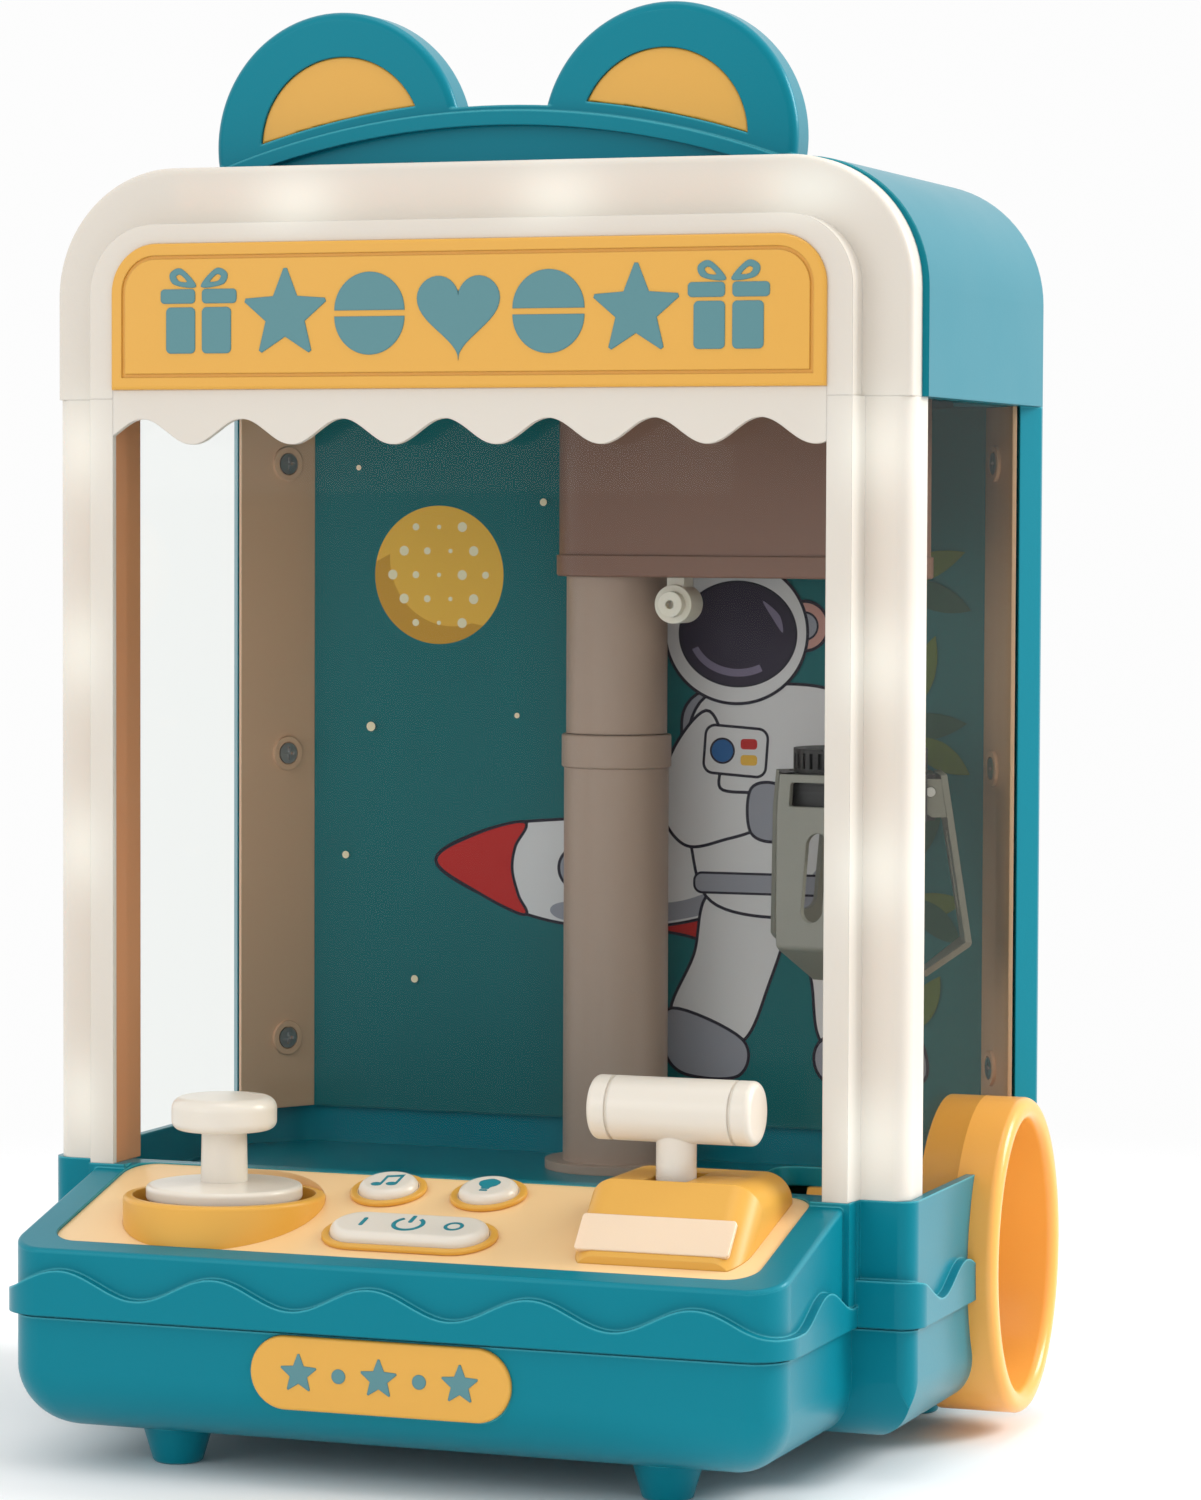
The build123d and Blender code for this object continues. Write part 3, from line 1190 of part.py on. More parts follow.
heading = Vector(cos(radians(ARM_HEADING)), sin(radians(ARM_HEADING)), 0)
CLAW = (MAST[0] + CLAW_REACH * heading.X, MAST[1] + CLAW_REACH * heading.Y)
TAIL_RADIUS, NOSE_RADIUS = 16.5, 19.0
ARM_WALL = 2.2
ROD_RADIUS = 5.0


def arm_outline(inset=0.0):
    """Arm box from above: round about the mast and about the claw, with straight sides between."""
    with BuildSketch() as outline:
        with Locations(MAST):
            Circle(TAIL_RADIUS - inset)
        with Locations(CLAW):
            Circle(NOSE_RADIUS - inset)
        make_hull()
    return outline.sketch


with BuildPart() as arm_housing:
    with BuildSketch(Plane.XY.offset(ARM_BOTTOM)):
        add(arm_outline())
    extrude(amount=ARM_HEIGHT)
    with BuildSketch(Plane.XY.offset(ARM_BOTTOM)):                  # proud band along the lower edge
        add(arm_outline(-0.7))
    extrude(amount=6)
    fillet(arm_housing.edges().group_by(Axis.Z)[0], 0.8)
    with BuildSketch(Plane.XY.offset(ARM_BOTTOM + ARM_WALL)):
        add(arm_outline(ARM_WALL))
    extrude(amount=ARM_HEIGHT, mode=Mode.SUBTRACT)
    with BuildSketch(Plane.XY.offset(ARM_BOTTOM)):                  # guide for the claw rod
        with Locations(CLAW):
            Circle(ROD_RADIUS + 2.5)
    extrude(amount=10)
    with BuildSketch(Plane.XY.offset(ARM_BOTTOM)):
        with Locations(CLAW):
            Circle(ROD_RADIUS + RUNNING_FIT)
    extrude(amount=12, mode=Mode.SUBTRACT)
save(arm_housing, "arm_housing")

with BuildPart() as arm_lid:
    with BuildSketch(Plane.XY.offset(ARM_BOTTOM + ARM_HEIGHT)):
        add(arm_outline())
    extrude(amount=2.4)
    fillet(arm_lid.edges().group_by(Axis.Z)[-1], 1.2)
save(arm_lid, "arm_lid")

LAMP = (23.4, 106.0, 223.5)
with BuildPart() as arm_lamp:
    with BuildSketch(facing(LAMP[1] + 6)):
        with Locations((LAMP[0], LAMP[2])):
            Circle(5.4)
    extrude(amount=10)
    with BuildSketch(facing(LAMP[1] - 4)):
        with Locations((LAMP[0], LAMP[2])):
            Circle(3.6)
            Circle(1.2, mode=Mode.SUBTRACT)
    extrude(amount=3)
    with BuildSketch(Plane.XY.offset(LAMP[2])):
        with Locations((LAMP[0], LAMP[1] + 2)):
            Rectangle(5, 8)
    extrude(amount=ARM_BOTTOM - LAMP[2])
save(arm_lamp, "arm_lamp")

# ---- claw -----------------------------------------------------------------------------------------------------------
HUB_BOTTOM, HUB_SHOULDER, HUB_TOP = 165.0, 177.8, 184.4
FINGER_HEADINGS = (-100.0, 20.0, 140.0)
HINGE_R, HINGE_Z = 18.5, 173.0
CLAW_PIN = 1.3
HUB_FLAT = 20.0
PLATE = 1.8

with BuildPart() as claw_rod:
    with BuildSketch(Plane.XY.offset(HUB_TOP)):
        with Locations(CLAW):
            Circle(ROD_RADIUS)
    extrude(amount=ARM_BOTTOM + ARM_HEIGHT - 5 - HUB_TOP)
    with BuildSketch(Plane.XY.offset(HUB_TOP)):
        with Locations(CLAW):
            Circle(9)
    extrude(amount=3)
save(claw_rod, "claw_rod")


def finger_plane(heading_degrees):
    """Vertical plane through the claw axis: local x is outward along a finger's heading, local y is up."""
    outward = Vector(cos(radians(heading_degrees)), sin(radians(heading_degrees)), 0)
    return Plane(origin=(*CLAW, 0), x_dir=outward, z_dir=outward.cross(Vector(0, 0, 1)))


with BuildPart() as claw_hub:
    with BuildSketch(Plane.XY.offset(HUB_BOTTOM)):
        with Locations(CLAW):
            Circle(22.5)
            for angle in FINGER_HEADINGS:
                outward = Vector(cos(radians(angle)), sin(radians(angle)), 0)
                with Locations(Location((outward.X * HUB_FLAT, outward.Y * HUB_FLAT, 0), (0, 0, angle))):
                    Rectangle(20, 60, align=(Align.MIN, Align.CENTER), mode=Mode.SUBTRACT)
                for cheek in (-1, 1):
                    across = Vector(-outward.Y, outward.X, 0) * cheek * 12.4
                    spot = outward * (HINGE_R + 1) + across
                    with Locations(Location((spot.X, spot.Y, 0), (0, 0, angle))):
                        Rectangle(11, 3.4, mode=Mode.SUBTRACT)
    extrude(amount=HUB_SHOULDER - HUB_BOTTOM)
    with BuildSketch(Plane.XY.offset(HUB_SHOULDER)):
        with Locations(CLAW):
            Circle(18.5)
    extrude(amount=HUB_TOP - HUB_SHOULDER)
    with BuildSketch(Plane.XY.offset(HUB_SHOULDER + 1.2)):          # ribs round the shoulder
        with Locations(CLAW):
            with PolarLocations(18.5, 36):
                Rectangle(2.4, 1.3)
    extrude(amount=HUB_TOP - HUB_SHOULDER - 2.4, mode=Mode.SUBTRACT)
    for angle in FINGER_HEADINGS:
        plane = finger_plane(angle)
        with BuildSketch(plane.offset(-14)):
            with Locations((HINGE_R, HINGE_Z)):
                Circle(CLAW_PIN)
        extrude(amount=28, mode=Mode.SUBTRACT)
save(claw_hub, "claw_hub")

with BuildPart() as claw_pins:
    for angle in FINGER_HEADINGS:
        with BuildSketch(finger_plane(angle).offset(-13.8)):
            with Locations((HINGE_R, HINGE_Z)):
                Circle(CLAW_PIN)
        extrude(amount=27.6)
save(claw_pins, "claw_pins")

KNEE_R, KNEE_Z = 28.5, 131.5
TIP_R, TIP_Z = 17.0, 122.9
FINGER_TOP_R, FINGER_TOP_Z = 21.2, 177.5


def claw_finger(angle):
    """Slotted finger plate with two hinge cheeks and a foot bent inwards."""
    plane = finger_plane(angle)
    with BuildPart() as finger:
        with BuildSketch(plane.offset(-13)):
            with BuildLine():
                outside = [(FINGER_TOP_R, FINGER_TOP_Z), (KNEE_R, KNEE_Z), (TIP_R, TIP_Z)]
                Polyline(*outside)
                offset(amount=PLATE, side=Side.LEFT)
            make_face()
        extrude(amount=26)
        front = Plane(origin=(*CLAW, 0), x_dir=-plane.z_dir, z_dir=plane.x_dir)
        with BuildSketch(front):
            with BuildLine():
                Polyline((-13, FINGER_TOP_Z + 1), (-13, HINGE_Z - 6), (-10, KNEE_Z), (-4, TIP_Z - 3),
                         (4, TIP_Z - 3), (10, KNEE_Z), (13, HINGE_Z - 6), (13, FINGER_TOP_Z + 1), close=True)
            make_face()
        extrude(amount=60, mode=Mode.INTERSECT)
        with BuildSketch(front):
            with Locations((0, 150)):
                SlotOverall(24, 6.5, rotation=90)
            with Locations((0, 172.3)):
                RectangleRounded(19, 6.5, 0.8)
        extrude(amount=60, mode=Mode.SUBTRACT)
        for cheek in (-1, 1):
            with BuildSketch(plane.offset(cheek * 12)):
                with BuildLine():
                    Polyline(
                        (15.8, 168), (15.8, 176.5), (FINGER_TOP_R + 0.4, 176.5), (22.9, 166), (19, 166), close=True,
                    )
                make_face()
                with Locations((HINGE_R, HINGE_Z)):
                    Circle(CLAW_PIN + RUNNING_FIT, mode=Mode.SUBTRACT)
            extrude(amount=0.9, both=True)
    return finger


for angle, finger_name in zip(FINGER_HEADINGS, ("claw_finger_front", "claw_finger_right", "claw_finger_rear")):
    save(claw_finger(angle), finger_name)
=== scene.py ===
"""Looks of the toy prize-grabber machine: materials, printed and raised artwork, lamps, camera and light.

Lengths given to the helpers below are millimetres about the cabinet: X = 0 is its centre-plane, Y = 0 the front
of the white frame and Z = 0 the floor. at() turns them into the frame's metres.
"""

from itertools import count
from math import atan, cos, hypot, pi, radians, sin, tau

import bpy
from mathutils import Matrix, Vector


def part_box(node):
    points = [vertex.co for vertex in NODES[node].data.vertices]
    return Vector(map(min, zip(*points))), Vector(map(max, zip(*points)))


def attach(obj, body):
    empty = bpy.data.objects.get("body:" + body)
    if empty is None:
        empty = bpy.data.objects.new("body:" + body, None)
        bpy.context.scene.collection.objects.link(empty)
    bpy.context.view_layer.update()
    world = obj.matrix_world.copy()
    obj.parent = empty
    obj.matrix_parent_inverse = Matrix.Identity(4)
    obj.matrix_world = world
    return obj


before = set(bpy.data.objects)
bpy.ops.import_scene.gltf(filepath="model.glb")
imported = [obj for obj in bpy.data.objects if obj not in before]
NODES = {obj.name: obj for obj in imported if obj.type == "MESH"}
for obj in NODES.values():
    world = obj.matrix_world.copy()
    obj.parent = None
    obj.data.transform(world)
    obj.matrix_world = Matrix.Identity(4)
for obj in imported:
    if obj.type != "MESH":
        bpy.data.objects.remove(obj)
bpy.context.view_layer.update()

SHIFT = (-2.6, -46.75)                  # from the cabinet's own axes to the frame's origin
BACKDROP_FACE = 141.5
SIGN_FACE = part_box("sign_panel")[0][1] * 1000 - SHIFT[1]
PILL_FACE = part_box("name_badge")[0][1] * 1000 - SHIFT[1]
DECK_SLOPE = 0.269
DECK_TILT = atan(DECK_SLOPE)
RIM_AT_FRAME = 72.05                    # height of the console slope under the frame's front face


def at(x, y, z):
    """Cabinet millimetres to frame metres."""
    return Vector(((x + SHIFT[0]) / 1000, (y + SHIFT[1]) / 1000, z / 1000))


# ---- materials ------------------------------------------------------------------------------------------------------
EDGE_RADIUS = 0.0005                    # soft edges of mouldings, metres
HIGHLIGHT_RADIUS = 0.0009                    # reach of the painted highlight along an upper edge
SHEET_ROUGHNESS = 0.02


def new_material(name):
    """Empty node material: returns it with its tree, its shader and a function that adds and sets a node."""
    material = bpy.data.materials.new(name)
    material.use_nodes = True
    tree = material.node_tree
    shader = tree.nodes["Principled BSDF"]

    def add(kind, inputs=(), **settings):
        node = tree.nodes.new(kind)
        for key, value in settings.items():
            setattr(node, key, value)
        for key, value in dict(inputs).items():
            if isinstance(value, bpy.types.NodeSocket):
                tree.links.new(value, node.inputs[key])
            else:
                node.inputs[key].default_value = value
        return node

    return material, tree, shader, add


def moulded(name, colour, rough=0.32, grain=0.012, coat=0.0, scatter=0.0, sheen=(1, 1, 1), painted_edge_highlight=None):
    """Injection-moulded plastic: fine grain, slight gloss changes and soft edges.

    sheen tints the reflection seen head-on; the last argument is a paler colour painted along edges that look upwards,
    a painted highlight of light from above.
    """
    material, tree, shader, add = new_material(name)
    shader.inputs["Base Color"].default_value = (*colour, 1)
    shader.inputs["IOR"].default_value = 1.47
    shader.inputs["Specular Tint"].default_value = (*sheen, 1)
    if coat:
        shader.inputs["Coat Weight"].default_value = coat
        shader.inputs["Coat Roughness"].default_value = 0.12
    if scatter:
        shader.inputs["Subsurface Weight"].default_value = scatter
        shader.inputs["Subsurface Radius"].default_value = (0.004, 0.003, 0.002)
        shader.inputs["Subsurface Scale"].default_value = 1.0
    place = add("ShaderNodeTexCoord").outputs["Object"]
    clouds = add("ShaderNodeTexNoise", {"Vector": place, "Scale": 22.0, "Detail": 4.0})
    gloss = add("ShaderNodeMapRange", {"Value": clouds.outputs["Fac"],
                                       "To Min": rough - 0.05, "To Max": rough + 0.06})
    tree.links.new(gloss.outputs["Result"], shader.inputs["Roughness"])
    fine = add("ShaderNodeTexNoise", {"Vector": place, "Scale": 1500.0, "Detail": 2.0})
    soft_edge = add("ShaderNodeBevel", {"Radius": EDGE_RADIUS}, samples=4)
    bump = add("ShaderNodeBump", {"Strength": grain * 8, "Distance": 0.0002, "Height": fine.outputs["Fac"],
                                  "Normal": soft_edge.outputs["Normal"]})
    tree.links.new(bump.outputs["Normal"], shader.inputs["Normal"])
    # painted highlight: the paler colour is mixed into the base colour where the bevelled normal leans upwards
    if painted_edge_highlight:
        highlight_bevel = add("ShaderNodeBevel", {"Radius": HIGHLIGHT_RADIUS}, samples=4)
        flat = add("ShaderNodeNewGeometry")
        lean = add("ShaderNodeVectorMath", {0: highlight_bevel.outputs["Normal"], 1: flat.outputs["Normal"]},
                   operation="SUBTRACT")
        upward = add("ShaderNodeSeparateXYZ", {0: lean.outputs[0]})
        highlight_mask = add("ShaderNodeMapRange", {"Value": upward.outputs["Z"], "From Min": 0.06, "From Max": 0.34,
                                          "To Max": 0.9})
        highlighted_colour = add("ShaderNodeMix", {0: highlight_mask.outputs["Result"], 6: (*colour, 1), 7: (*painted_edge_highlight, 1)}, data_type="RGBA")
        tree.links.new(highlighted_colour.outputs[2], shader.inputs["Base Color"])
    return material


def painted_lamp_glow(material, colour, strength):
    """Paints the lamps' glow onto a moulded material as emission: painted light in soft patches up both legs and along
    the arch.
    """
    tree = material.node_tree
    shader = tree.nodes["Principled BSDF"]

    def maths(operation, a, b=0.0):
        node = tree.nodes.new("ShaderNodeMath")
        node.operation = operation
        for socket, value in zip(node.inputs, (a, b)):
            if isinstance(value, bpy.types.NodeSocket):
                tree.links.new(value, socket)
            else:
                socket.default_value = value
        return node.outputs[0]

    def bell(value, centre, width):
        """Smooth bump round a place, in metres."""
        away = maths("DIVIDE", maths("SUBTRACT", value, centre), width)
        return maths("EXPONENT", maths("MULTIPLY", maths("MULTIPLY", away, away), -1.0))

    def total(parts):
        result = parts[0]
        for part in parts[1:]:
            result = maths("ADD", result, part)
        return result

    split = tree.nodes.new("ShaderNodeSeparateXYZ")
    tree.links.new(tree.nodes.new("ShaderNodeTexCoord").outputs["Object"], split.inputs[0])
    across, height = split.outputs["X"], split.outputs["Z"]
    sideways = maths("ABSOLUTE", maths("SUBTRACT", across, SHIFT[0] / 1000))
    up_legs = maths("MULTIPLY", bell(sideways, LEG_MIDDLE, 0.010), total([bell(height, z, 0.013) for z in LEG_LAMPS]))
    along_arch = maths("MULTIPLY", bell(height, ARCH_MIDDLE, 0.008),
                       total([bell(across, x + SHIFT[0] / 1000, 0.013) for x in ARCH_LAMPS]))
    shader.inputs["Emission Color"].default_value = (*colour, 1)
    tree.links.new(maths("MULTIPLY", maths("ADD", up_legs, along_arch), strength), shader.inputs["Emission Strength"])
    return material


def clear_sheet(name, tint, head_on, edge_on):
    """Clear moulded sheet: see-through, with a reflection that grows from head_on to edge_on at a glancing view."""
    material, tree, shader, add = new_material(name)
    material.surface_render_method = "BLENDED"
    through = add("ShaderNodeBsdfTransparent", {"Color": (*tint, 1)})
    shader.inputs["Base Color"].default_value = (0.9, 0.95, 0.95, 1)
    shader.inputs["Roughness"].default_value = SHEET_ROUGHNESS
    place = add("ShaderNodeTexCoord").outputs["Object"]
    wobble = add("ShaderNodeTexNoise", {"Vector": place, "Scale": 9.0, "Detail": 1.0})
    bump = add("ShaderNodeBump", {"Strength": 0.05, "Distance": 0.001, "Height": wobble.outputs["Fac"]})
    facing = add("ShaderNodeLayerWeight", {"Blend": 0.5, "Normal": bump.outputs["Normal"]})
    glance = add("ShaderNodeMath", {0: facing.outputs["Facing"], 1: 5.0}, operation="POWER")
    fresnel = add("ShaderNodeMapRange", {"Value": glance.outputs[0], "To Min": head_on, "To Max": edge_on})
    mirror = add("ShaderNodeBsdfGlossy", {"Color": (1, 1, 1, 1), "Roughness": SHEET_ROUGHNESS,
                                          "Normal": bump.outputs["Normal"]})
    mix = add("ShaderNodeMixShader", {0: fresnel.outputs[0], 1: through.outputs[0], 2: mirror.outputs[0]})
    tree.links.new(mix.outputs[0], tree.nodes["Material Output"].inputs["Surface"])
    return material


def metal(name, colour, rough):
    """Plated steel with a faint turned grain."""
    material, tree, shader, add = new_material(name)
    shader.inputs["Base Color"].default_value = (*colour, 1)
    shader.inputs["Metallic"].default_value = 1.0
    place = add("ShaderNodeTexCoord").outputs["Object"]
    stretch = add("ShaderNodeMapping", {"Vector": place, "Scale": (1.0, 1.0, 40.0)})
    grain = add("ShaderNodeTexNoise", {"Vector": stretch.outputs[0], "Scale": 60.0, "Detail": 5.0})
    gloss = add("ShaderNodeMapRange", {"Value": grain.outputs["Fac"],
                                       "To Min": rough - 0.07, "To Max": rough + 0.1})
    tree.links.new(gloss.outputs["Result"], shader.inputs["Roughness"])
    bump = add("ShaderNodeBump", {"Strength": 0.08, "Distance": 0.0001, "Height": grain.outputs["Fac"]})
    tree.links.new(bump.outputs["Normal"], shader.inputs["Normal"])
    return material


def printed(name, colour):
    """Ink on card: flat colour with a little paper fibre."""
    material, tree, shader, add = new_material(name)
    shader.inputs["Base Color"].default_value = (*colour, 1)
    shader.inputs["Roughness"].default_value = 0.45
    shader.inputs["Specular IOR Level"].default_value = 0.2
    place = add("ShaderNodeTexCoord").outputs["Object"]
    fibre = add("ShaderNodeTexNoise", {"Vector": place, "Scale": 900.0, "Detail": 3.0})
    bump = add("ShaderNodeBump", {"Strength": 0.06, "Distance": 0.0001, "Height": fibre.outputs["Fac"]})
    tree.links.new(bump.outputs["Normal"], shader.inputs["Normal"])
    return material


WARM = (1.0, 0.88, 0.68)
LEG_MIDDLE, ARCH_MIDDLE = 0.112, 0.331  # centre lines of the lamp rows, from the centre-plane and from the floor
LEG_LAMPS = (0.089, 0.158, 0.211, 0.266)
ARCH_LAMPS = (-0.050, 0.024, 0.092)
# teal with a painted highlight along its upward-looking edges
TEAL = moulded("teal_moulding", (0.001, 0.183, 0.243), rough=0.34, coat=0.1, sheen=(0.12, 0.6, 0.75),
               painted_edge_highlight=(0.09, 0.47, 0.54))
# cream frame with painted lamp glow: emission patches where the lamps inside shine through
CREAM = painted_lamp_glow(moulded("cream_moulding", (0.69, 0.635, 0.56), rough=0.38, scatter=0.1), (0.85, 1.0, 0.97), 0.19)
# column liners: a darker tan where the cream columns' inner faces fall in shadow, painted shadow
LINER_SHADOW = moulded("liner_painted_shadow", (0.62, 0.28, 0.13), rough=0.42)
PILLAR = moulded("pillar_moulding", (0.64, 0.41, 0.26), rough=0.42)
ORANGE = moulded("orange_moulding", (0.73, 0.38, 0.055), rough=0.36, scatter=0.06)
RING = moulded("ring_moulding", (0.93, 0.44, 0.085), rough=0.3, coat=0.2, scatter=0.1)
PEACH = moulded("peach_moulding", (0.90, 0.61, 0.31), rough=0.34, coat=0.1, scatter=0.08)
WHITE = moulded("white_moulding", (0.75, 0.69, 0.60), rough=0.28, coat=0.15, scatter=0.12)
TINTED = moulded("tinted_moulding", (0.86, 0.64, 0.45), rough=0.2, coat=0.4, scatter=0.2)
TAUPE = moulded("taupe_moulding", (0.36, 0.265, 0.21), rough=0.42, grain=0.02)
# arm housing and lid: the same taupe plastic as the mast, painted darker as painted shadow
TAUPE_IN_SHADOW = moulded("arm_housing_painted_shadow", (0.20, 0.105, 0.075), rough=0.42, grain=0.02)
GREY = moulded("grey_moulding", (0.22, 0.22, 0.19), rough=0.36, grain=0.02)
BLACK = moulded("black_moulding", (0.012, 0.012, 0.013), rough=0.4)
NYLON = moulded("nylon", (0.72, 0.69, 0.60), rough=0.45, scatter=0.2)
STEEL = metal("plated_steel", (0.60, 0.60, 0.61), 0.3)
CARD = printed("printed_card", (0.004, 0.137, 0.150))
SLEEVE = moulded("cell_sleeve", (0.03, 0.04, 0.07), rough=0.3)
BOARD = moulded("solder_mask", (0.01, 0.09, 0.03), rough=0.35)
ICON = moulded("icon_ink", (0.085, 0.235, 0.26), rough=0.4)
ICON_TEAL = moulded("control_ink", (0.006, 0.22, 0.28), rough=0.4)
CLEAR = clear_sheet("clear_sheet", (0.985, 0.99, 0.985), 0.004, 0.30)
# right window: a shaded copy of the clear sheet, its darker tint painting the dimness seen through it at a glancing
# view
CLEAR_SHADED = clear_sheet("clear_sheet_shaded", (0.885, 0.88, 0.845), 0.006, 0.10)

strip, strip_tree, strip_shader, strip_add = new_material("lamp_diffuser")
strip_shader.inputs["Base Color"].default_value = (0.9, 0.85, 0.7, 1)
strip_shader.inputs["Roughness"].default_value = 0.6
strip_shader.inputs["Emission Color"].default_value = (*WARM, 1)
cells = strip_add("ShaderNodeTexNoise", {"Scale": 40.0, "Vector": strip_add("ShaderNodeTexCoord").outputs["Object"]})
level = strip_add("ShaderNodeMapRange", {"Value": cells.outputs["Fac"], "To Min": 1.5, "To Max": 2.5})
strip_tree.links.new(level.outputs["Result"], strip_shader.inputs["Emission Strength"])

FINISH = {
    TEAL: "base_tub base_collar back_cover roof_shell ear_crown feet prize_tray battery_door",
    CREAM: "arch_frame front_column_left front_column_right valance",
    LINER_SHADOW: "column_liner_left column_liner_right",
    PILLAR: "rear_pillar_left rear_pillar_right",
    ORANGE: "sign_panel ear_inserts name_badge joystick_socket coin_housing drop_chute",
    RING: "chute_ring",
    PEACH: "control_deck",
    WHITE: "joystick lever music_button light_button power_button",
    TINTED: "coin_window",
    CLEAR: "front_window side_window_left",
    CLEAR_SHADED: "side_window_right",
    TAUPE: "mast_lower_tube mast_collar mast_upper_tube",
    TAUPE_IN_SHADOW: "arm_housing arm_lid",
    GREY: "claw_finger_front claw_finger_right claw_finger_rear slew_motor battery_box",
    BLACK: "claw_hub loudspeaker",
    STEEL: "claw_rod claw_pins lever_pin base_screws pillar_screws battery_contacts",
    NYLON: "slew_shaft slew_pinion gimbal_ring arm_lamp",
    CARD: "backdrop",
    strip: "led_strips",
    SLEEVE: "batteries",
    BOARD: "circuit_board",
}
for material, names in FINISH.items():
    for name in names.split():
        NODES[name].data.materials.clear()
        NODES[name].data.materials.append(material)


# ---- flat artwork ---------------------------------------------------------------------------------------------------
def ring_points(x, z, rx, rz=None, count=48, start=0.0, sweep=tau):
    """Points round an ellipse, or round a part of one."""
    steps = count if sweep == tau else count + 1
    turn = [start + sweep * i / count for i in range(steps)]
    return [(x + rx * cos(a), z + (rz or rx) * sin(a)) for a in turn]


def smooth(points, steps=8):
    """Closed Catmull-Rom curve through a few points."""
    result = []
    n = len(points)
    for i in range(n):
        p0, p1, p2, p3 = (Vector(points[(i + k - 1) % n]) for k in range(4))
        for s in range(steps):
            t = s / steps
            result.append(tuple(0.5 * (2 * p1 + (p2 - p0) * t + (2 * p0 - 5 * p1 + 4 * p2 - p3) * t ** 2
                                       + (3 * p1 - p0 - 3 * p2 + p3) * t ** 3)))
    return result


def rounded(x, z, wide, high, radius, turn=0.0):
    """Rounded rectangle, turned by an angle in degrees."""
    corners = []
    for quarter, (sx, sz) in enumerate(((1, 1), (-1, 1), (-1, -1), (1, -1))):
        cx, cz = sx * (wide / 2 - radius), sz * (high / 2 - radius)
        corners += ring_points(cx, cz, radius, count=6, start=quarter * pi / 2, sweep=pi / 2)
    a = radians(turn)
    return [(x + px * cos(a) - pz * sin(a), z + px * sin(a) + pz * cos(a)) for px, pz in corners]


FRONT = Matrix.Rotation(pi / 2, 4, "X")


def plate(name, loops, material, body, matrix, thick=0.04, round_edge=0.0, grow=0.0):
    """Thin flat shape: loops are outlines in local x, y millimetres; inner loops are holes."""
    curve = bpy.data.curves.new(name, "CURVE")
    curve.dimensions = "2D"
    curve.fill_mode = "BOTH"
    curve.extrude = max(thick / 2 - round_edge, 0.005)
    curve.bevel_depth = round_edge
    curve.bevel_resolution = 2
    curve.offset = grow
    for loop in loops:
        spline = curve.splines.new("POLY")
        spline.points.add(len(loop) - 1)
        for point, (x, y) in zip(spline.points, loop):
            point.co = (x, y, 0, 1)
        spline.use_cyclic_u = True
    holder = bpy.data.objects.new(name + "_curve", curve)
    bpy.context.collection.objects.link(holder)
    bpy.context.view_layer.update()
    mesh = bpy.data.meshes.new_from_object(holder.evaluated_get(bpy.context.evaluated_depsgraph_get()))
    bpy.data.objects.remove(holder)
    mesh.name = name
    mesh.transform(matrix @ Matrix.Diagonal((0.001, 0.001, 0.001, 1)))
    mesh.materials.clear()
    mesh.materials.append(material)
    piece = bpy.data.objects.new(name, mesh)
    bpy.context.collection.objects.link(piece)
    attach(piece, body)
    return piece


def front_plane(y):
    """Placement of artwork on a face that looks to the front at depth y."""
    return Matrix.Translation(at(0, y, 0)) @ FRONT


INK = printed("ink_dark", (0.018, 0.016, 0.03))
INKS = {
    "white": printed("ink_white", (0.68, 0.68, 0.70)),
    "grey": printed("ink_grey", (0.30, 0.31, 0.36)),
    "visor": printed("ink_visor", (0.030, 0.022, 0.045)),
    "shine": printed("ink_shine", (0.20, 0.17, 0.26)),
    "red": printed("ink_red", (0.50, 0.020, 0.018)),
    "yellow": printed("ink_yellow", (0.78, 0.46, 0.065)),
    "ochre": printed("ink_ochre", (0.56, 0.30, 0.035)),
    "cream": printed("ink_cream", (0.80, 0.74, 0.52)),
    "blue": printed("ink_blue", (0.02, 0.12, 0.34)),
    "leaf": printed("ink_leaf", (0.10, 0.16, 0.028)),
    "moss": printed("ink_moss", (0.018, 0.085, 0.055)),
    "rose": printed("ink_rose", (0.55, 0.30, 0.26)),
}
LAYER = 0.01                            # each printed shape lies this far in front of the one before
layers = count(1)


def ink(name, loops, colour, outline=0.0):
    """Prints a shape on the backdrop, over all before it, with an optional dark outline round it."""
    if outline:
        y = BACKDROP_FACE - LAYER * next(layers)
        plate(f"art_{name}_line", loops[:1], INK, "base", front_plane(y), thick=0.006, grow=outline)
    y = BACKDROP_FACE - LAYER * next(layers)
    plate(f"art_{name}", loops, INKS[colour], "base", front_plane(y), thick=0.006)


# planet with light spots
ink("planet", [ring_points(-62.8, 230.7, 20.2, count=96)], "yellow")
ink("planet_shade", [ring_points(-62.8, 230.7, 20.2, count=60, start=pi * 0.94, sweep=pi * 0.80)
                     + ring_points(-58.5, 235.5, 19.8, count=60, start=pi * 1.60, sweep=-pi * 0.62)], "ochre")
spots = []
for row in range(-2, 3):
    for column in range(-3, 4):
        x = column * 7.3 + (row % 2) * 3.6
        z = row * 7.0
        if hypot(x, z) < 17.4:
            spots.append(ring_points(-62.8 + x, 230.7 + z, 0.65 + 0.40 * ((row * 3 + column * 5) % 3), count=20))
ink("planet_spots", spots, "cream")

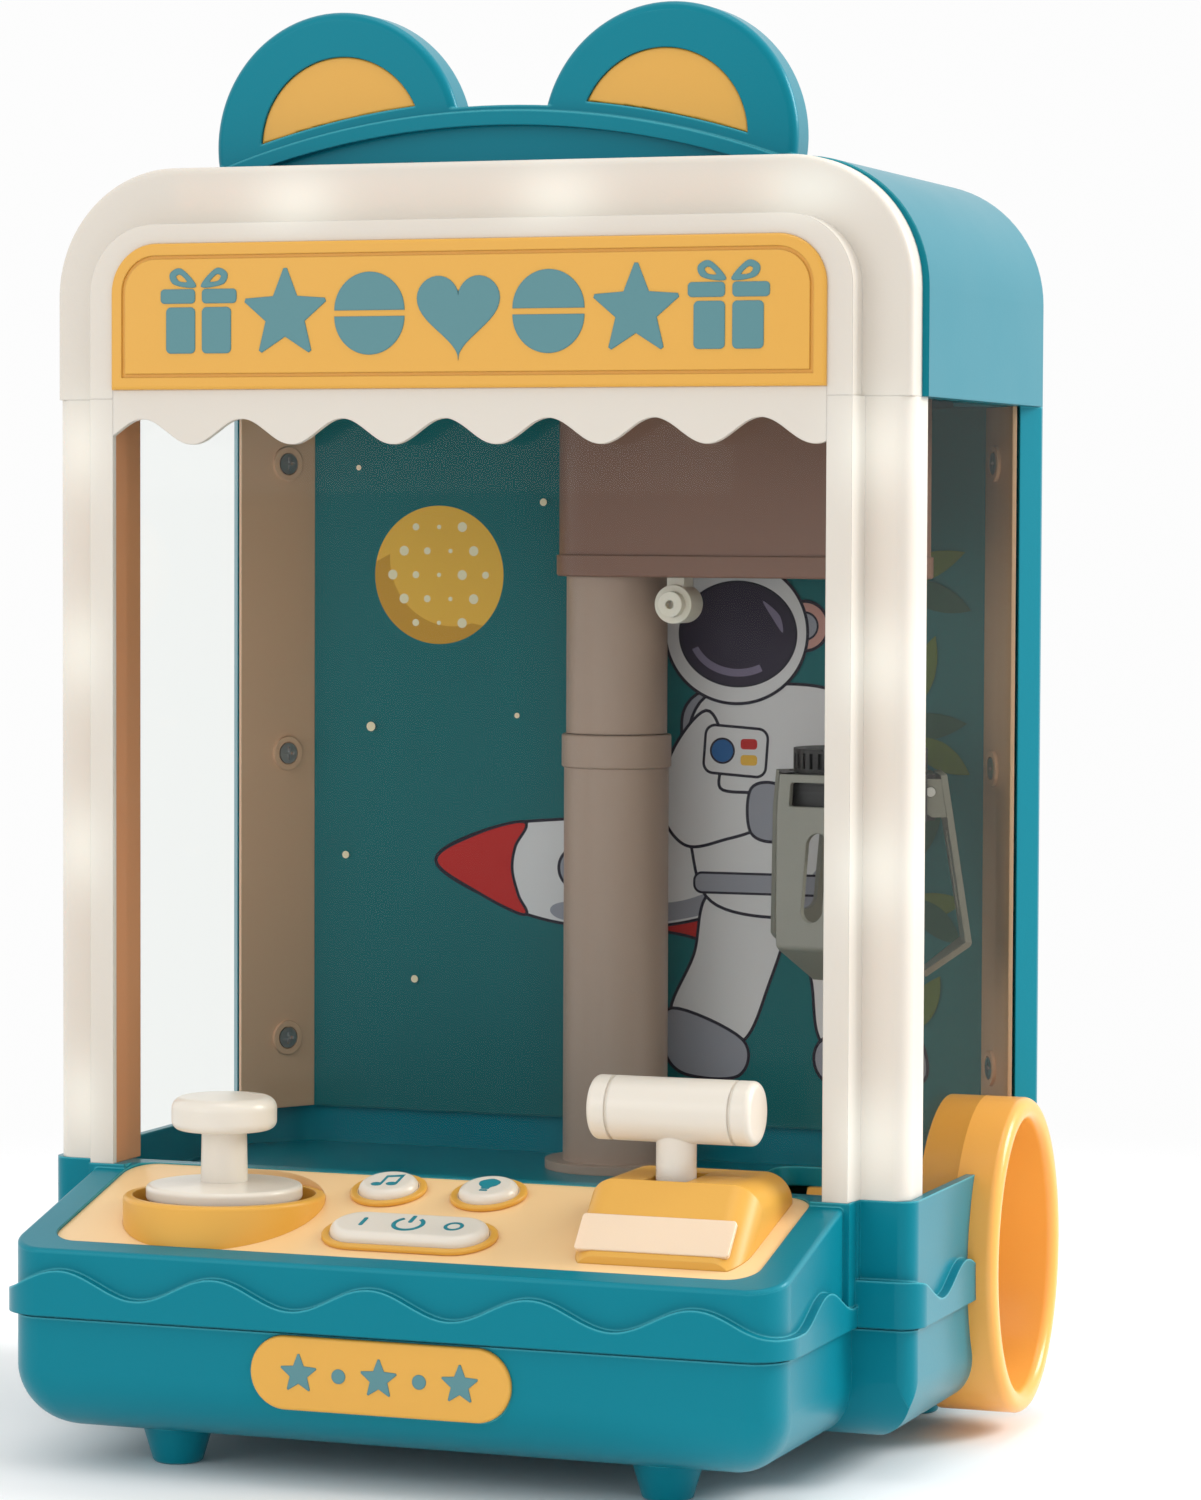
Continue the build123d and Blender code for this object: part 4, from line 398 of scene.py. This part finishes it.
# rocket, nose to the left
ink("rocket_fin_low", [smooth([(2, 131), (20, 126), (34, 112), (33, 134), (22, 141)])], "red", 0.9)
ink("rocket_fin_high", [smooth([(4, 160), (18, 168), (32, 184), (34, 162), (24, 152)])], "red", 0.9)
ink("rocket_body", [smooth([(-63.2, 147.2), (-46, 156.6), (-24.8, 159.6), (2, 160.5), (26, 154), (29, 144),
                            (24, 135), (2, 130), (-24.7, 130.4), (-46, 136.6)])], "white", 0.9)
ink("rocket_shade", [smooth([(-24, 130.9), (2, 130.6), (24, 135.4), (28, 143), (10, 137), (-24, 136)])], "grey")
ink("rocket_nose", [smooth([(-63.0, 147.2), (-50, 155.0), (-36, 158.6), (-39, 152), (-40, 145), (-38, 137.4),
                            (-36, 132.4), (-50, 138.4)])], "red", 0.9)
ink("rocket_port", [ring_points(-19, 146, 5.6)], "grey", 0.9)
ink("rocket_glass", [ring_points(-19, 146, 3.9)], "blue")

# spaceman's suit with an empty dark visor
ink("leg_left", [smooth([(22, 140), (17, 122), (10, 106), (14, 97), (30, 97), (38, 112), (44, 138)])], "white", 0.9)
ink("leg_right", [smooth([(44, 138), (52, 118), (56, 98), (74, 96), (80, 104), (72, 124), (64, 142)])], "white", 0.9)
ink("boot_left", [smooth([(10, 106), (8, 95), (14, 88), (30, 88), (31, 98)])], "grey", 0.9)
ink("boot_right", [smooth([(56, 99), (56, 88), (74, 86), (86, 90), (80, 104)])], "grey", 0.9)
ink("pack", [rounded(42, 176, 58, 44, 9)], "grey", 0.9)
ink("arm_far", [smooth([(60, 192), (72, 184), (78, 168), (76, 154), (68, 152), (66, 164), (58, 176)])], "white", 0.9)
ink("glove_far", [smooth([(68, 156), (78, 156), (80, 147), (73, 142), (67, 147)])], "grey", 0.9)
ink("torso", [smooth([(20, 196), (42, 200), (62, 196), (68, 176), (66, 152), (60, 138), (42, 134), (22, 138),
                      (16, 154), (14, 178)])], "white", 0.9)
ink("torso_shade", [smooth([(58, 194), (66, 176), (64, 152), (58, 139), (44, 136), (56, 152), (58, 172)])], "grey")
ink("arm_bent", [smooth([(20, 192), (10, 180), (7, 164), (14, 154), (26, 156), (36, 160), (36, 168), (24, 170),
                         (25, 182)])], "white", 0.9)
ink("glove_bent", [smooth([(34, 158), (42, 156), (46, 163), (42, 171), (34, 170)])], "grey", 0.9)
ink("belt", [rounded(40, 143, 46, 5, 2)], "grey", 0.7)
ink("panel", [rounded(29, 181, 18, 13, 2.5, turn=-4)], "white", 0.8)
ink("panel_dial", [ring_points(25, 181, 3.2, count=28)], "blue", 0.6)
ink("panel_key", [rounded(33, 183, 5, 3, 1)], "red")
ink("panel_key_low", [rounded(33, 178.4, 5, 3, 1)], "yellow")
for side, centre in enumerate((8.0, 49.5)):
    ink(f"ear_disc_{side}", [ring_points(centre, 217, 6.6)], "rose", 0.9)
    ink(f"ear_cap_{side}", [ring_points(centre, 217, 3.6)], "grey", 0.6)
ink("helmet", [ring_points(29, 215, 21.0, 20.0, count=72)], "white", 0.9)
ink("visor", [ring_points(29.5, 214.5, 17.2, 14.6, count=72)], "visor", 0.7)
ink("visor_shine", [ring_points(29.5, 214.5, 14.8, 12.2, count=24, start=pi * 1.12, sweep=pi * 0.55)
                    + ring_points(29.5, 214.5, 12.8, 10.0, count=24, start=pi * 1.67, sweep=-pi * 0.55)], "shine")
ink("visor_glint", [smooth([(37, 224), (42, 220), (43, 215), (40, 219)])], "shine")
for index, (x, z, turn, length) in enumerate(((96, 238, 200, 26), (98, 222, 160, 22), (88, 214, 250, 24),
                                              (97, 190, 185, 24), (98, 176, 150, 20), (90, 166, 235, 22),
                                              (97, 140, 190, 24), (96, 128, 140, 20), (90, 118, 240, 20))):
    a = radians(turn)
    along, across = (cos(a), sin(a)), (-sin(a), cos(a))
    leaf = [(x + along[0] * length * t + across[0] * w, z + along[1] * length * t + across[1] * w)
            for t, w in ((0, 0.4), (0.25, 3.0), (0.55, 3.8), (0.85, 1.9), (1, 0), (0.85, -1.9), (0.55, -3.8),
                         (0.25, -3.0), (0, -0.4))]
    leaf = [(px, pz) for px, pz in smooth(leaf, 4) if px < 101.5]
    ink(f"leaf_{index}", [leaf], ("leaf", "moss")[index % 2])
ink("far_stars", [ring_points(x, z, 0.8 + 0.3 * (index % 3), count=14) for index, (x, z) in enumerate(
    ((-88, 262), (-30, 252), (-84, 186), (-38, 190), (-70, 112), (74, 258), (-6, 268), (-92, 148)))], "cream")


# ---- raised icons on the sign, pill and buttons ---------------------------------------------------------------------
def star(x, z, radius, inner=0.48, points=5):
    """Star outline with slightly softened points."""
    corners = []
    for i in range(2 * points):
        r = radius if i % 2 == 0 else radius * inner
        a = pi / 2 + i * pi / points
        corners += [(x + r * cos(a + d), z + r * sin(a + d)) for d in ((-0.035, 0.035) if i % 2 == 0 else (0,))]
    return corners


def heart(x, z, size):
    """Heart outline."""
    turn = [tau * i / 60 for i in range(60)]
    return [(x + size * sin(t) ** 3,
             z + size * (13 * cos(t) - 5 * cos(2 * t) - 2 * cos(3 * t) - cos(4 * t)) / 16) for t in turn]


def icon(name, loops, place):
    """Raised icon on the sign."""
    plate(f"sign_{name}", loops, ICON, "base", place, thick=0.5, round_edge=0.12)


SIGN_PLACE = front_plane(SIGN_FACE)
BOW = ((0.8, 7.6), (5, 12.2), (8.2, 11), (7, 8.2))          # one loop of a gift's ribbon, and the hole in it
BOW_HOLE = ((3.2, 8.8), (5.2, 10.8), (6.6, 10.3), (5.6, 8.9))
SIGN_MIDDLE = 300.6
for side in (-1, 1):
    x = side * 74
    icon(f"gift_{side}_left", [rounded(x - 5.2, SIGN_MIDDLE - 4, 8.2, 12, 1.2)], SIGN_PLACE)
    icon(f"gift_{side}_right", [rounded(x + 5.2, SIGN_MIDDLE - 4, 8.2, 12, 1.2)], SIGN_PLACE)
    icon(f"gift_{side}_lid_left", [rounded(x - 6.0, SIGN_MIDDLE + 5, 9.8, 3.6, 1.0)], SIGN_PLACE)
    icon(f"gift_{side}_lid_right", [rounded(x + 6.0, SIGN_MIDDLE + 5, 9.8, 3.6, 1.0)], SIGN_PLACE)
    for way in (-1, 1):
        bow, hole = (smooth([(x + way * across, SIGN_MIDDLE + up) for across, up in loop]) for loop in (BOW, BOW_HOLE))
        icon(f"gift_{side}_bow_{way}", [bow, hole], SIGN_PLACE)
    icon(f"star_{side}", [star(side * 49, SIGN_MIDDLE, 12.0)], SIGN_PLACE)
    icon(f"ball_{side}_top", [ring_points(side * 25, SIGN_MIDDLE + 0.9, 9.8, count=40, start=0, sweep=pi)], SIGN_PLACE)
    icon(f"ball_{side}_low", [ring_points(side * 25, SIGN_MIDDLE - 0.9, 9.8, count=40, start=pi, sweep=pi)], SIGN_PLACE)
icon("heart", [heart(0, SIGN_MIDDLE + 0.8, 11.5)], SIGN_PLACE)

PILL_PLACE = front_plane(PILL_FACE)
PILL_MIDDLE = 30.2
for index, x in enumerate((-22, -11, 0, 11, 22)):
    shape = ring_points(x, PILL_MIDDLE, 1.8, count=28) if index % 2 else star(x, PILL_MIDDLE, 5.0)
    plate(f"pill_mark_{index}", [shape], ICON, "base", PILL_PLACE, thick=0.4, round_edge=0.1)


def deck_place(x, along, height):
    """Placement on a button top: x across, distance along the console slope, height above the slope plane."""
    lift = Vector((0, -sin(DECK_TILT), cos(DECK_TILT))) * height
    spot = Vector((x, along * cos(DECK_TILT), RIM_AT_FRAME + along * sin(DECK_TILT))) + lift
    return Matrix.Translation(at(*spot)) @ Matrix.Rotation(DECK_TILT, 4, "X")


def top_of(node):
    """Height of a button's top above the console slope plane, found from its own highest face."""
    normal = Vector((0, -sin(DECK_TILT), cos(DECK_TILT)))
    base = at(0, 0, RIM_AT_FRAME)
    return max((vertex.co - base).dot(normal) for vertex in NODES[node].data.vertices) * 1000


STRETCH = 1 / cos(DECK_TILT)
MUSIC = (-18.0, -4.0 * STRETCH)
LIGHT = (10.0, -3.5 * STRETCH)
POWER = (-1.0, -31.0 * STRETCH)
KEY_RADIUS = 7.9
KEY_LONG, KEY_WIDE = 43.0, 15.8
RIM_HEIGHT = 1.35
RIM_EDGE = 0.45


def rim(name, place, outer, inner):
    """Orange rim round a button, over the deck's own raised lip."""
    height = top_of("control_deck") - RIM_HEIGHT / 2 + 0.15
    plate(f"rim_{name}", [outer, inner], ORANGE, "base", deck_place(*place, height), thick=RIM_HEIGHT,
          round_edge=RIM_EDGE)


def slot_outline(grow):
    """Outline of the oval button, grown on every side."""
    return rounded(0, 0, KEY_LONG + 2 * grow, KEY_WIDE + 2 * grow, KEY_WIDE / 2 + grow)


rim("music", MUSIC, ring_points(0, 0, KEY_RADIUS + 1.85), ring_points(0, 0, KEY_RADIUS + 0.7))
rim("light", LIGHT, ring_points(0, 0, KEY_RADIUS + 1.85), ring_points(0, 0, KEY_RADIUS + 0.7))
rim("power", POWER, slot_outline(1.85), slot_outline(0.7))


def key_mark(name, loops, body, place):
    """Raised mark on a button's top."""
    plate(name, loops, ICON_TEAL, body, place, thick=0.16, round_edge=0.03)


music_top = deck_place(*MUSIC, top_of("music_button"))
key_mark("note_stem", [[(-1.9, -2.6), (-0.7, -2.2), (-0.7, 2.2), (2.6, 3.0), (2.6, -1.6), (3.3, -1.6), (3.3, 4.4),
                        (-1.4, 3.2), (-1.4, -2.0)]], "music_key", music_top)
key_mark("note_head_0", [ring_points(-2.2, -2.6, 1.5, 1.1, count=24)], "music_key", music_top)
key_mark("note_head_1", [ring_points(1.8, -1.9, 1.5, 1.1, count=24)], "music_key", music_top)
light_top = deck_place(*LIGHT, top_of("light_button"))
key_mark("bulb", [smooth([(0, 4.2), (2.6, 2.6), (2.6, 0.4), (1.2, -1.4), (1.0, -2.4), (-1.0, -2.4), (-1.2, -1.4),
                          (-2.6, 0.4), (-2.6, 2.6)])], "light_key", light_top)
key_mark("bulb_cap", [rounded(0, -3.4, 2.2, 0.9, 0.3)], "light_key", light_top)
power_top = deck_place(*POWER, top_of("power_button"))
arc = ring_points(0, 0, 4.4, count=40, start=pi * 0.70, sweep=pi * 1.60)
arc += ring_points(0, 0, 3.3, count=40, start=pi * 2.30, sweep=-pi * 1.60)
key_mark("power_arc", [arc], "power_key", power_top)
key_mark("power_bar", [rounded(0, 3.0, 1.1, 4.4, 0.5)], "power_key", power_top)
key_mark("power_on", [rounded(-12.5, 0, 1.1, 5.0, 0.5)], "power_key", power_top)
key_mark("power_off", [ring_points(12.5, 0, radius, count=36) for radius in (2.6, 1.7)], "power_key", power_top)

# ---- floor, light and camera ----------------------------------------------------------------------------------------
floor_material, floor_tree, floor_shader, floor_add = new_material("studio_floor")
floor_shader.inputs["Base Color"].default_value = (0.93, 0.93, 0.93, 1)
floor_shader.inputs["Roughness"].default_value = 0.8
speck = floor_add("ShaderNodeTexNoise", {"Scale": 300.0, "Vector": floor_add("ShaderNodeTexCoord").outputs["Object"]})
floor_bump = floor_add("ShaderNodeBump", {"Strength": 0.02, "Distance": 0.0005, "Height": speck.outputs["Fac"]})
floor_tree.links.new(floor_bump.outputs["Normal"], floor_shader.inputs["Normal"])
reach = floor_add("ShaderNodeVectorMath", {0: floor_add("ShaderNodeTexCoord").outputs["Object"]}, operation="LENGTH")
fade = floor_add("ShaderNodeMapRange", {"Value": reach.outputs["Value"], "From Min": 0.17, "From Max": 0.7},
                 interpolation_type="SMOOTHSTEP")
floor_mix = floor_add("ShaderNodeMixShader", {0: fade.outputs["Result"], 1: floor_shader.outputs[0],
                                              2: floor_add("ShaderNodeBsdfTransparent").outputs[0]})
floor_tree.links.new(floor_mix.outputs[0], floor_tree.nodes["Material Output"].inputs["Surface"])
floor_mesh = bpy.data.meshes.new("studio_floor")
REACH = 1.2                             # half the floor's side, metres
floor_corners = [(-REACH, -REACH, 0), (REACH, -REACH, 0), (REACH, REACH, 0), (-REACH, REACH, 0)]
floor_mesh.from_pydata(floor_corners, [], [(0, 1, 2, 3)])
floor_mesh.materials.append(floor_material)
floor = bpy.data.objects.new("studio_floor", floor_mesh)
bpy.context.collection.objects.link(floor)

scene = bpy.context.scene
scene.view_settings.view_transform = "Standard"
world = bpy.data.worlds.new("studio")
scene.world = world
world.use_nodes = True
world.node_tree.nodes["Background"].inputs["Color"].default_value = (1.0, 1.0, 1.0, 1)
world.node_tree.nodes["Background"].inputs["Strength"].default_value = 0.98


def softbox(name, place, target, size, watts, colour=(1, 1, 1)):
    """Square soft light aimed at a point."""
    lamp = bpy.data.lights.new(name, "AREA")
    lamp.size = size
    lamp.energy = watts
    lamp.color = colour
    holder = bpy.data.objects.new(name, lamp)
    holder.location = place
    holder.rotation_euler = (Vector(target) - Vector(place)).to_track_quat("-Z", "Y").to_euler()
    bpy.context.collection.objects.link(holder)


MIDDLE = (0, 0, 0.18)
softbox("key", (1.25, 0.55, 0.9), MIDDLE, 0.6, 17)
softbox("fill", (-0.7, -1.3, 0.6), MIDDLE, 0.7, 2)
softbox("top", (0.1, -0.1, 1.3), MIDDLE, 0.6, 2.5)

camera_data = bpy.data.cameras.new("camera")
camera_data.lens = 116.26
camera_data.sensor_width = 36
camera_data.clip_end = 50
camera = bpy.data.objects.new("camera", camera_data)
YAW, PITCH, ROLL = radians(20.0308), radians(2.6896), radians(0.2288)
CAMERA_PLACE = (467.169, -1173.727, 246.209)
ahead = Vector((-sin(YAW) * cos(PITCH), cos(YAW) * cos(PITCH), -sin(PITCH)))
right = Vector((cos(YAW), sin(YAW), 0))
up = right.cross(ahead)
right_rolled = right * cos(ROLL) + up * sin(ROLL)
up_rolled = up * cos(ROLL) - right * sin(ROLL)
camera.matrix_world = Matrix.Translation(at(*CAMERA_PLACE)) @ Matrix(
    (right_rolled, up_rolled, -ahead)).transposed().to_4x4()
bpy.context.collection.objects.link(camera)
scene.camera = camera
